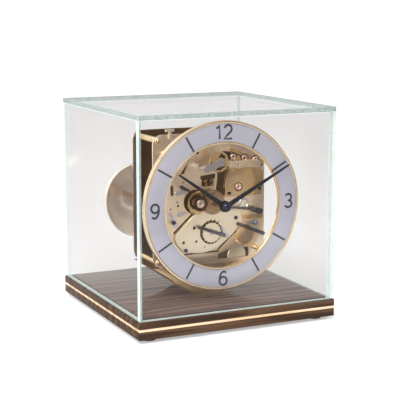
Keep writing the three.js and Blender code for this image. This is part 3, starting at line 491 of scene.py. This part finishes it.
# The strokes of each figure, about its middle, one numeral height tall.
figures = {
    "1": [[(-0.20, 0.26), (-0.06, 0.33), (0.04, 0.46), (0.04, -0.46)]],
    "2": [arc(0, 0.19, 0.27, 0.27, 165, -35) + [(-0.06, -0.22), (-0.28, -0.46), (0.29, -0.46)]],
    "3": [arc(0, 0.235, 0.24, 0.225, 150, -90) + arc(0, -0.225, 0.27, 0.235, 90, -155)],
    "6": [arc(0, -0.18, 0.27, 0.28, 0, 360, 30), arc(0.04, -0.12, 0.31, 0.58, 180, 55)],
    "9": [arc(0, 0.18, 0.27, 0.28, 0, 360, 30), arc(-0.04, 0.12, 0.31, 0.58, 0, -125)],
}
numeral_height, numeral_radius, stroke, figure_pitch = 12.6, 62.6, 1.9, 0.66
for hour in (12, 3, 6, 9):
    curve = bpy.data.curves.new(f"numeral_{hour:02d}", "CURVE")
    curve.dimensions = "3D"
    curve.bevel_depth = stroke / 2 * mm
    curve.bevel_resolution = 3
    curve.use_fill_caps = True
    digits = str(hour)
    for place_in_line, digit in enumerate(digits):
        shift = (place_in_line - (len(digits) - 1) / 2) * figure_pitch
        for points in figures[digit]:
            line = curve.splines.new("POLY")
            line.points.add(len(points) - 1)
            for point, (x, y) in zip(line.points, points):
                point.co = ((x + shift) * numeral_height * mm, y * numeral_height * mm, 0, 1)
    drawn = bpy.data.objects.new("drawn_numeral", curve)
    bpy.context.scene.collection.objects.link(drawn)
    bpy.context.view_layer.update()
    depsgraph = bpy.context.evaluated_depsgraph_get()
    mesh = bpy.data.meshes.new_from_object(drawn.evaluated_get(depsgraph))
    bpy.data.objects.remove(drawn)
    shape = bmesh.new()
    shape.from_mesh(mesh)
    bpy.data.meshes.remove(mesh)
    bmesh.ops.scale(shape, vec=(1, 1, ink_thickness / (stroke * mm)), verts=shape.verts)
    upright = Matrix.Rotation(math.radians(90), 3, "X")
    bmesh.ops.rotate(shape, cent=(0, 0, 0), matrix=upright, verts=shape.verts)
    angle = math.radians(30 * hour)
    out = Vector((math.sin(angle), 0, math.cos(angle))) * numeral_radius * mm
    on_face = Vector((dial_centre.x, face_level - ink_thickness / 2, dial_centre.z))
    bmesh.ops.translate(shape, vec=on_face + out, verts=shape.verts)
    fit(faces_to_mesh(f"numeral_{hour:02d}", shape, [ink]), "frame")

# ---- Bell ----------------------------------------------------------------------------------
# A cast bell-metal dome, turned thin and polished, on a post behind the back plate with a
# domed nut. The hammer strikes it from inside near the rim.


def bell_finish():
    material, surface, add, links = shader("bell_metal")
    place = add("ShaderNodeTexCoord").outputs["Object"]
    cloud = add("ShaderNodeTexNoise", {"Vector": place, "Scale": 22, "Detail": 2}).outputs["Fac"]
    links.new(ramp(add, cloud, [(0.3, (0.92, 0.84, 0.73)), (0.7, (0.97, 0.91, 0.82))]),
              surface.inputs["Base Color"])
    rings_place = add("ShaderNodeMapping", {"Vector": place, "Scale": (6, 1500, 6)}).outputs["Vector"]
    rings = add("ShaderNodeTexNoise", {"Vector": rings_place, "Scale": 1, "Detail": 3}).outputs["Fac"]
    rough = add("ShaderNodeMapRange", {"Value": rings, "To Min": 0.14, "To Max": 0.2})
    links.new(rough.outputs["Result"], surface.inputs["Roughness"])
    bump = add("ShaderNodeBump", {"Height": rings, "Strength": 0.03, "Distance": 0.0001})
    links.new(bump.outputs["Normal"], surface.inputs["Normal"])
    surface.inputs["Metallic"].default_value = 0.65
    return material


bell_metal = bell_finish()
low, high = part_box("bell")
bell_radius = (high.x - low.x) / 2 / mm
bell_height = (high.y - low.y) / mm
bell_wall, bell_bore, rim_height = 1.5, 2.6, 0.5


def dome_line(radius, height):
    """Points up a quarter ellipse, every 5 degrees from 5 to 80."""
    angles = [math.radians(degrees) for degrees in range(5, 85, 5)]
    return [[radius * math.cos(a), height * math.sin(a)] for a in angles]


bell_inner, bell_ceiling = bell_radius - bell_wall, bell_height - bell_wall
profile = (
    [[bell_radius, rim_height]] + dome_line(bell_radius, bell_height)
    + [[bell_bore, bell_height], [bell_bore, bell_ceiling]]
    + dome_line(bell_inner, bell_ceiling)[::-1]
    + [[bell_inner, rim_height], [bell_inner + 0.3, 0], [bell_radius - 0.35, 0], [bell_radius, rim_height]]
)
bell_centre = Vector((middle("bell").x, low.y, middle("bell").z))
made = faces_to_mesh("turned_bell", turn(profile, bell_centre, steps=96), [bell_metal])
fit(made, "frame", ["bell"])

low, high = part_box("bell_post")
post_length = (high.y - low.y) / mm
flange, stem, flange_depth, flange_ease = 4.2, 2.5, 2.2, 0.4
nut_at = (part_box("bell")[1].y - low.y) / mm
nut_radius, nut_gap = 4.1, 0.06
profile = [
    [0, 0], [flange, 0], [flange, flange_depth], [flange - 0.6, flange_depth + flange_ease],
    [stem, flange_depth + flange_ease], [stem, nut_at + nut_gap], [nut_radius, nut_at + nut_gap],
    [nut_radius, nut_at + 1.0], [3.4, nut_at + 2.6], [1.8, post_length - 0.2], [0, post_length],
]
where = Vector((middle("bell").x, low.y, middle("bell").z))
fit(faces_to_mesh("turned_bell_post", turn(profile, where), [wheel_brass]), "frame", ["bell_post"])

# ---- Wheels, barrels and pinions -----------------------------------------------------------
# Brass wheels on steel arbors with cut steel pinions, and two brass barrels that hold the
# mainsprings. Arbors run from plate to plate and are polished round. The ratchet wheels are
# brass, and the clicks, pallets, hammer, hairspring and lifting lever are steel.



def near_axis(centre, radius):
    """A test for points within a radius of an arbor's axis."""
    return lambda at: math.hypot(at.x - centre.x, at.z - centre.z) <= radius * mm


wheel_ease, ratchet_ease, tooth_sharp = 0.08, 0.06, 40
# The hour wheel is painted dark umber as painted shade at the dial's centre.
painted_shade_umber_brass = brass("painted_shade_umber_brass", (0.30, 0.20, 0.11), (0.46, 0.32, 0.19), 0.3, (900, 900, 900))
wheel_rows = [
    ("time_barrel", "time_barrel", "brass", 0),
    ("second_wheel", "second_wheel", "brass", 5.3),
    ("centre_wheel", "centre", "brass", 6.9),
    ("third_wheel", "third_wheel", "brass", 4.9),
    ("escape_wheel", "escape_wheel", "brass", 4.4),
    ("minute_wheel", "minute_wheel", "brass", 3.2),
    ("hour_wheel", "hour", "brass", 0),
    ("strike_barrel", "strike_barrel", "brass", 0),
    ("strike_second_wheel", "strike_second", "brass", 5.3),
    ("strike_third_wheel", "strike_third", "brass", 4.9),
    ("fly", "fly", "brass", 4.4),
    ("balance_wheel", "balance", "brass", 1.0),
]
for node, body, slot, steel_radius in wheel_rows:
    finish = painted_shade_umber_brass if node == "hour_wheel" else wheel_brass
    hub = near_axis(middle(node), steel_radius)
    made = machined(node, wheel_ease, [finish, steel], hub, tooth_sharp)
    fit(made, body, [node])

steel_rows = [
    ("time_mainspring", "time_barrel"),
    ("strike_mainspring", "strike_barrel"),
    ("cannon_pinion", "centre"),
    ("time_winding_arbor", "time_winding"),
    ("strike_winding_arbor", "strike_winding"),
    ("time_click", "time_click"),
    ("strike_click", "strike_click"),
    ("pallet_lever", "pallets"),
    ("hairspring", "balance"),
    ("hammer", "hammer"),
]
for node, body in steel_rows:
    fit(machined(node, wheel_ease, [steel], None, tooth_sharp), body, [node])
oiled_steel = brass("oiled_steel", (0.10, 0.09, 0.10), (0.20, 0.18, 0.19), 0.28)
fit(machined("lifting_lever", wheel_ease, [oiled_steel]), "lifting_lever", ["lifting_lever"])
made = machined("strike_ratchet_wheel", ratchet_ease, [cream_brass], None, tooth_sharp)
fit(made, "strike_winding", ["strike_ratchet_wheel"])
made = machined("time_ratchet_wheel", ratchet_ease, [yellow_brass], None, tooth_sharp)
fit(made, "time_winding", ["time_ratchet_wheel"])

# ---- Screws, jewels and small work ---------------------------------------------------------
# Blued slotted screws, brass pillar nuts, bushes and chatons pressed in round the pivots, near-black
# discs of painted shade in the pivot holes, and the small levers, springs and straps of the strike
# work. All are fixed to the plates and bridges, except the minute wheel's painted shade ring and boss.

dial_x, dial_z = middle("hour_wheel").x / mm, middle("hour_wheel").z / mm
plate_face, bridge_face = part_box("front_plate")[0].y / mm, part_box("strike_bridge")[0].y / mm
sunk = 0.2
blued_steel = brass("blued_steel", (0.035, 0.040, 0.075), (0.07, 0.075, 0.13), 0.24)
shadow_brass = brass("shadow_brass", (0.055, 0.032, 0.018), (0.12, 0.075, 0.04), 0.5)


def ruby_finish():
    material, surface, add, links = shader("ruby")
    place = add("ShaderNodeTexCoord").outputs["Object"]
    cloud = add("ShaderNodeTexNoise", {"Vector": place, "Scale": 700, "Detail": 2}).outputs["Fac"]
    links.new(ramp(add, cloud, [(0.3, (0.42, 0.06, 0.12)), (0.7, (0.72, 0.20, 0.28))]),
              surface.inputs["Base Color"])
    gloss = add("ShaderNodeMapRange", {"Value": cloud, "To Min": 0.06, "To Max": 0.14})
    links.new(gloss.outputs["Result"], surface.inputs["Roughness"])
    surface.inputs["Coat Weight"].default_value = 0.6
    return material


ruby = ruby_finish()


def disc(name, x, z, outer, front, rear, finish, inner=0.0, ease=0.15, body="frame"):
    """A turned disc or ring, x and z from the dial's centre, its front edges eased."""
    profile = [[outer, rear], [outer, front + ease], [outer - ease, front]]
    if inner:
        profile += [[inner + ease, front], [inner, front + ease], [inner, rear], [outer, rear]]
    else:
        profile = [[0, rear]] + profile + [[0, front]]
    centre = Vector(((dial_x + x) * mm, 0, (dial_z + z) * mm))
    return fit(faces_to_mesh(name, turn(profile, centre, steps=32), [finish]), body)


def drawn_out(extruded):
    """The vertices that an extrusion has just made."""
    return [part for part in extruded["geom"] if isinstance(part, bmesh.types.BMVert)]


def cut_piece(name, corners, front, rear, finish, rounding=0.0, ease=0.12):
    """A flat piece sawn to an outline of x, z points from the dial's centre."""
    shape = bmesh.new()
    outline = [shape.verts.new(((dial_x + x) * mm, rear * mm, (dial_z + z) * mm)) for x, z in corners]
    face = shape.faces.new(outline)
    pulled = bmesh.ops.extrude_face_region(shape, geom=[face], use_keep_orig=True)
    bmesh.ops.translate(shape, vec=(0, (front - rear) * mm, 0), verts=drawn_out(pulled))
    bmesh.ops.recalc_face_normals(shape, faces=shape.faces)
    if rounding:
        upright = [e for e in shape.edges if abs(e.verts[0].co.y - e.verts[1].co.y) > 1e-5]
        bmesh.ops.bevel(
            shape, geom=upright, offset=rounding * mm, segments=5, affect="EDGES", profile=0.5, material=-1,
            clamp_overlap=True
        )
    front_rim = [e for e in shape.edges if all(abs(v.co.y - front * mm) < 1e-6 for v in e.verts)]
    bmesh.ops.bevel(
        shape, geom=front_rim, offset=ease * mm, segments=1, affect="EDGES", profile=0.5, material=-1,
        clamp_overlap=True
    )
    return fit(faces_to_mesh(name, shape, [finish]), "frame")


def bar(name, start, end, half_start, half_end, front, rear, finish):
    """A tapered bar with rounded ends between two x, z points."""
    along = Vector((end[0] - start[0], end[1] - start[1])).normalized()
    corners = []
    for (x, z), half, first in ((start, half_start, 90), (end, half_end, -90)):
        for step in range(9):
            a = math.radians(first + step * 22.5)
            corners.append((
                x + half * (along.x * math.cos(a) - along.y * math.sin(a)),
                z + half * (along.y * math.cos(a) + along.x * math.sin(a)),
            ))
    return cut_piece(name, corners, front, rear, finish)


def screw(name, x, z, radius, seat, proud, turned, finish):
    """A cheese-head screw with a milled slot, seated on a face at y = seat, turned in degrees."""
    slot_half, slot_deep = radius * 0.16, proud * 0.6
    shape = bmesh.new()
    bmesh.ops.create_circle(shape, cap_ends=True, segments=24, radius=radius * mm)
    for side in (-1, 1):
        bmesh.ops.bisect_plane(
            shape, geom=shape.verts[:] + shape.edges[:] + shape.faces[:], dist=1e-7,
            plane_co=(0, side * slot_half * mm, 0), plane_no=(0, 1, 0)
        )
    rim = bmesh.ops.extrude_edge_only(shape, edges=[e for e in shape.edges if e.is_boundary])
    bmesh.ops.translate(shape, vec=(0, 0, -proud * mm), verts=drawn_out(rim))
    milled = []
    for face in shape.faces:
        at = face.calc_center_median()
        if abs(at.y) < slot_half * mm and abs(at.z) < 1e-7:
            milled.append(face)
    lowered = bmesh.ops.extrude_face_region(shape, geom=milled)
    bmesh.ops.translate(shape, vec=(0, 0, -slot_deep * mm), verts=drawn_out(lowered))
    turning = Matrix.Rotation(math.radians(90), 3, "X") @ Matrix.Rotation(math.radians(turned), 3, "Z")
    bmesh.ops.rotate(shape, cent=(0, 0, 0), matrix=turning, verts=shape.verts)
    place = Vector(((dial_x + x) * mm, (seat - proud) * mm, (dial_z + z) * mm))
    bmesh.ops.translate(shape, vec=place, verts=shape.verts)
    return fit(faces_to_mesh(name, shape, [finish]), "frame")


screw_rows = [
    ("strike_bridge_left", -35, -16, 1.7, bridge_face, 25),
    ("strike_bridge_low", -24, -41, 1.7, bridge_face, 70),
    ("strike_bridge_right", 24, -16, 1.7, bridge_face, -30),
    ("train_bridge_low", 17.5, 6, 1.5, bridge_face, 15),
    ("train_bridge_side", 47, 8.5, 1.5, bridge_face, 60),
    ("plate_left", -37.5, 20.5, 1.4, plate_face, 40),
    ("plate_high", -12, 43, 1.4, plate_face, -20),
    ("plate_low", -30, -46.5, 1.4, plate_face, 10),
]
head_depth = 0.7
for name, x, z, radius, seat, turned in screw_rows:
    screw("screw_" + name, x, z, radius, seat, head_depth, turned, blued_steel)
pillar_nut, pillar_nut_bore, pillar_nut_depth = 3.1, 2.0, 0.9
for number, (x, z) in enumerate([(-48, 54.5), (48, 54.5), (-48, -50), (48, -50)]):
    disc(f"pillar_nut_{number}", x, z, pillar_nut, plate_face - pillar_nut_depth, plate_face, plate_brass,
         pillar_nut_bore, 0.3)

hole_rows = [
    (-16, -22, 1.5, bridge_face), (-14, -34, 1.25, bridge_face), (-26, -34, 1.35, bridge_face),
    (-30, -2, 1.2, plate_face), (-37, -4.5, 0.9, plate_face), (-4, -17.6, 0.8, bridge_face),
    (0, -16.6, 0.9, bridge_face), (3.6, -16.8, 0.9, bridge_face), (7.2, -18.2, 0.8, bridge_face),
    (-6, -39.5, 0.7, bridge_face),
]
bush_wall = 0.55
# Each pivot hole is a near-black disc of painted shade inside a cream bush.
for number, (x, z, radius, seat) in enumerate(hole_rows):
    disc(f"painted_shade_hole_{number}", x, z, radius, seat - 0.06, seat + sunk, shadow_brass)
    disc(f"hole_bush_{number}", x, z, radius + bush_wall, seat - 0.1, seat + sunk, cream_brass, radius,
         0.08)

# Near-black discs of painted shade round the strike arbor and behind the minute wheel, and a steel ring
# round a brass core.
disc("ratchet_shade_disc", 0, -27, 10.4, bridge_face - 0.12, bridge_face + sunk, shadow_brass, 3.0, 0.05)
disc("minute_wheel_shade_disc", -14.2, 0.4, 10.6, plate_face - 0.1, plate_face + sunk, shadow_brass, 3.0, 0.05)
disc("ring_boss", 33, -4, 5.2, plate_face - 1.3, plate_face + sunk, steel, 3.1, 0.4)
disc("ring_boss_core", 33, -4, 2.9, plate_face - 0.5, plate_face + sunk, cream_brass)

# A near-black ring of painted shade on the minute wheel's face, round a rose boss.
wheel_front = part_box("minute_wheel")[0].y / mm
wheel_sunk = wheel_front + 0.3
disc("minute_wheel_shade_ring", -13, 0, 6.6, wheel_front - 0.08, wheel_sunk, shadow_brass, 3.7, 0.05,
     "minute_wheel")
disc("minute_wheel_boss", -13, 0, 3.6, wheel_front - 0.5, wheel_sunk, rose_brass, 1.35, 0.25,
     "minute_wheel")

jewel_rows = [
    ("train_bridge", 26.5, 11.0, bridge_face), ("upper_left", 22.5, 37.0, plate_face),
    ("upper_middle", 33.0, 35.5, plate_face - 0.8), ("upper_right", 43.5, 33.6, plate_face - 0.8),
]
well_radius, chaton_radius, jewel_radius = 3.9, 3.0, 1.25
# Each chaton sits in a near-black ring of painted shade.
for name, x, z, seat in jewel_rows:
    disc("jewel_shade_" + name, x, z, well_radius, seat - 0.06, seat + sunk, shadow_brass, chaton_radius, 0.03)
    disc("chaton_" + name, x, z, chaton_radius, seat - 0.6, seat + sunk, rose_brass, jewel_radius, 0.35)
    disc("jewel_" + name, x, z, jewel_radius, seat - 0.2, seat + sunk, ruby)

# Thin near-black sheets of painted shade behind the balance, along the bridges and the strap, a
# dark brown sheet of painted shade behind the lower window with a polished lobe in it, and a
# brass strap, shield and eccentric on the right of the plate, the eccentric's centre painted shade.
cut_piece(
    "balance_shade_sheet",
    [(5, 5), (13, 5), (13.5, 20), (16, 28), (22, 28), (22, 34.5), (20, 42), (12, 43), (7.5, 37),
     (18.5, 35.5), (18.5, 29.5), (-1, 30.5), (-1, 28), (8, 26)],
    plate_face - 0.12, plate_face, shadow_brass, 1.0, 0.05
)
cut_piece(
    "left_shade_sheet", [(-9, 22.5), (5, 24), (5, 20), (-4, 18.5), (-9, 19.5)], plate_face - 0.12, plate_face,
    shadow_brass, 0.5, 0.05
)
bar("bridge_shade_left", (-16.5, -9.6), (-34, -25.4), 0.6, 0.9, plate_face - 0.1, plate_face, shadow_brass)
bar("bridge_shade_low", (-24, -45), (8, -44.6), 0.7, 0.7, plate_face - 0.1, plate_face, shadow_brass)
bar("bridge_shade_right", (8, -43), (30, -24), 0.8, 0.8, plate_face - 0.1, plate_face, shadow_brass)
# A raised strip of paler brass along the plate's lower edge, partly a real raised strip and partly a
# painted highlight.
bar("plate_highlight_strip", (-22, -48), (7, -48), 0.8, 0.8, plate_face - 0.5, plate_face, cream_brass)
# A dark brown sheet behind the lower window, painted shade.
cut_piece(
    "window_shade_backing", [(5, -55), (5, -46), (18, -42), (41, -42), (41, -55)], plate_face + 2.9,
    plate_face + 3.3, painted_shade_brass, 1.0
)
disc("window_lobe", 27.5, -50.5, 9.0, plate_face + 2.1, plate_face + 2.7, cream_brass, 0.0, 0.45)
bar("upper_strap", (19, 44.5), (50, 31.5), 1.6, 2.0, plate_face - 0.7, plate_face, yellow_brass)
bar("upper_strap_shade", (20, 42.3), (51, 29.0), 0.7, 0.9, plate_face - 0.1, plate_face, shadow_brass)
bar("escapement_shade", (1, 28.6), (36, 27.6), 0.8, 0.6, plate_face - 0.1, plate_face, shadow_brass)
cut_piece(
    "window_shield", [(37, 2.5), (50.5, 2.5), (50.5, 28.5), (37, 28.5)], plate_face - 0.22, plate_face,
    wheel_brass, 1.0, 0.05
)
disc("stop_eccentric", 48, 19.5, 3.2, plate_face - 0.8, plate_face, yellow_brass, 0.0, 0.4)
# The eccentric's dark centre is painted shade.
disc("stop_eccentric_shade", 48, 19.5, 1.5, plate_face - 0.86, plate_face - 0.5, shadow_brass)

# Springs, levers, a strap on two posts and a stop plate, and the catch on top of the front plate.
disc("strike_spring_post", -12, -21.5, 1.5, bridge_face - 3.9, bridge_face, oiled_steel)
bar("strike_spring", (-12, -21.5), (11, -29.8), 1.2, 1.7, bridge_face - 3.8, bridge_face - 3.2, oiled_steel)
bar("silver_lever_low", (-38, -9), (-33, -18), 1.5, 2.4, plate_face - 0.9, plate_face, steel)
bar("silver_lever_high", (-30, -9.5), (-23, -8.5), 2.0, 1.1, plate_face - 0.9, plate_face, steel)
bar("warning_spring", (-27, 14), (-20, 10.5), 1.7, 0.9, plate_face - 0.9, plate_face, oiled_steel)
bar("locking_spring", (-31, 9), (-24.5, 10), 2.2, 1.2, plate_face - 0.8, plate_face, steel)
bar("strap", (26, -21.5), (51, -32), 1.4, 1.6, plate_face - 2.9, plate_face - 2.2, oiled_steel)
disc("strap_post_left", 26, -21.5, 1.6, plate_face - 3.1, plate_face, oiled_steel)
disc("strap_post_right", 51, -32, 1.8, plate_face - 3.1, plate_face, oiled_steel)
cut_piece(
    "stop_plate", [(30, -14.5), (52, -14.5), (52, -19), (30, -18)], plate_face - 0.25, plate_face,
    yellow_brass, 0.8
)
bar("upper_spring", (44, 24.5), (50.5, 10), 1.0, 1.4, plate_face - 0.9, plate_face, yellow_brass)
plate_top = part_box("front_plate")[1].z / mm - dial_z
cut_piece(
    "top_catch",
    [(-39, plate_top - 4), (-36.5, plate_top - 4), (-36.5, plate_top + 2.5), (-34, plate_top + 2.5),
     (-34, plate_top + 4.5), (-42, plate_top + 4.5), (-42, plate_top + 2.5), (-39, plate_top + 2.5)],
    plate_face - 1.6, plate_face, cream_brass, 0.3, 0.2
)

# ---- Hands ---------------------------------------------------------------------------------
# Two tapered steel hands, blackened, each with a round boss. A small blued nut with an eased
# face holds the minute hand on the cannon pinion.


def black_finish():
    material, surface, add, links = shader("blackened_steel")
    place = add("ShaderNodeTexCoord").outputs["Object"]
    cloud = add("ShaderNodeTexNoise", {"Vector": place, "Scale": 180, "Detail": 3}).outputs["Fac"]
    links.new(ramp(add, cloud, [(0.3, (0.006, 0.007, 0.011)), (0.7, (0.014, 0.016, 0.026))]),
              surface.inputs["Base Color"])
    rough = add("ShaderNodeMapRange", {"Value": cloud, "To Min": 0.3, "To Max": 0.42})
    links.new(rough.outputs["Result"], surface.inputs["Roughness"])
    surface.inputs["Metallic"].default_value = 0.2
    surface.inputs["Specular IOR Level"].default_value = 0.35
    return material


blackened = black_finish()
hand_ease = 0.2
fit(machined("hour_hand", hand_ease, [blackened]), "hour", ["hour_hand"])
fit(machined("minute_hand", hand_ease, [blackened]), "centre", ["minute_hand"])
hub_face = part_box("minute_hand")[0].y / mm
hub_radius, hub_depth, hub_ease = 2.9, 0.9, 0.6
nut = disc("hub_nut", 0, 0, hub_radius, hub_face - hub_depth, hub_face + 0.05, blued_steel, 0.0, hub_ease,
           "centre")

# ---- Studio --------------------------------------------------------------------------------
# A pale table top that ends a little way in front of the clock, in a white room. One large soft
# light stands high on the left, a weaker one on the right and a small one low in front, and the
# room itself is brighter to the left and behind the clock.

table_depth, table_width, table_front = 5.0, 8.0, -0.48
shape = bmesh.new()
bmesh.ops.create_grid(shape, x_segments=1, y_segments=1, size=0.5)
bmesh.ops.scale(shape, vec=(table_width, table_depth, 1), verts=shape.verts)
bmesh.ops.translate(shape, vec=(0, table_front + table_depth / 2, 0), verts=shape.verts)
floor_paint, surface, add, links = shader("floor_paint")
surface.inputs["Base Color"].default_value = (0.46, 0.46, 0.46, 1)
surface.inputs["Roughness"].default_value = 0.9
surface.inputs["Specular IOR Level"].default_value = 0.1
surface.inputs["Emission Color"].default_value = (1, 1, 1, 1)
surface.inputs["Emission Strength"].default_value = 0.4
floor = faces_to_mesh("floor", shape, [floor_paint])


def softbox(name, place, aim, size, power):
    light = bpy.data.lights.new(name, "AREA")
    light.shape = "RECTANGLE"
    light.size, light.size_y = size
    light.energy = power
    lamp = bpy.data.objects.new(name, light)
    lamp.location = place
    lamp.rotation_euler = (Vector(aim) - Vector(place)).to_track_quat("-Z", "Y").to_euler()
    bpy.context.scene.collection.objects.link(lamp)


aim = (0, 0, 0.09)
softbox("key_light", (-1.0, -1.0, 1.5), aim, (1.0, 1.0), 33)
softbox("fill_light", (1.4, -0.5, 0.9), aim, (0.5, 1.2), 10)
softbox("front_light", (-0.9, -1.1, 0.4), aim, (0.7, 0.7), 5)

world = bpy.data.worlds.new("studio")
bpy.context.scene.world = world
world.use_nodes = True
nodes, links = world.node_tree.nodes, world.node_tree.links
for node in list(nodes):
    nodes.remove(node)
out = nodes.new("ShaderNodeOutputWorld")
seen = nodes.new("ShaderNodeBackground")
seen.inputs["Color"].default_value = (1, 1, 1, 1)
seen.inputs["Strength"].default_value = 1.2
room = nodes.new("ShaderNodeBackground")
place = nodes.new("ShaderNodeTexCoord")
leftward, full_left = (-0.9, 0, 0.4), 1.7
backward, full_back = (0, 1, 0.5), 1.05
dim, fade_from, fade_to = 0.54, -0.25, 0.35
levels = []
for heading, full in ((leftward, full_left), (backward, full_back)):
    direction = nodes.new("ShaderNodeVectorMath")
    direction.operation = "DOT_PRODUCT"
    direction.inputs[1].default_value = heading
    links.new(place.outputs["Generated"], direction.inputs[0])
    level = nodes.new("ShaderNodeMapRange")
    level.inputs["From Min"].default_value = fade_from
    level.inputs["From Max"].default_value = fade_to
    level.inputs["To Min"].default_value = dim
    level.inputs["To Max"].default_value = full
    links.new(direction.outputs["Value"], level.inputs["Value"])
    levels.append(level.outputs["Result"])
brighter = nodes.new("ShaderNodeMath")
brighter.operation = "MAXIMUM"
links.new(levels[0], brighter.inputs[0])
links.new(levels[1], brighter.inputs[1])
shades = nodes.new("ShaderNodeValToRGB")
shades.color_ramp.elements[0].position = dim
shades.color_ramp.elements[0].color = (1.0, 0.84, 0.76, 1)
shades.color_ramp.elements[1].position = 0.9
shades.color_ramp.elements[1].color = (1.0, 0.99, 0.99, 1)
links.new(brighter.outputs["Value"], shades.inputs["Fac"])
links.new(shades.outputs["Color"], room.inputs["Color"])
links.new(brighter.outputs["Value"], room.inputs["Strength"])
path = nodes.new("ShaderNodeLightPath")
pick = nodes.new("ShaderNodeMixShader")
links.new(path.outputs["Is Camera Ray"], pick.inputs["Fac"])
links.new(room.outputs["Background"], pick.inputs[1])
links.new(seen.outputs["Background"], pick.inputs[2])
links.new(pick.outputs["Shader"], out.inputs["Surface"])

camera = bpy.data.cameras.new("camera")
camera.lens = 105.8
camera.sensor_width = 36
camera.clip_end = 50
eye = bpy.data.objects.new("camera", camera)
eye.location = (-0.4356, -0.9320, 0.2747)
eye.rotation_euler = (math.radians(80.2), 0, math.radians(-25.34))
bpy.context.scene.collection.objects.link(eye)
bpy.context.scene.camera = eye
bpy.context.scene.view_settings.view_transform = "Standard"
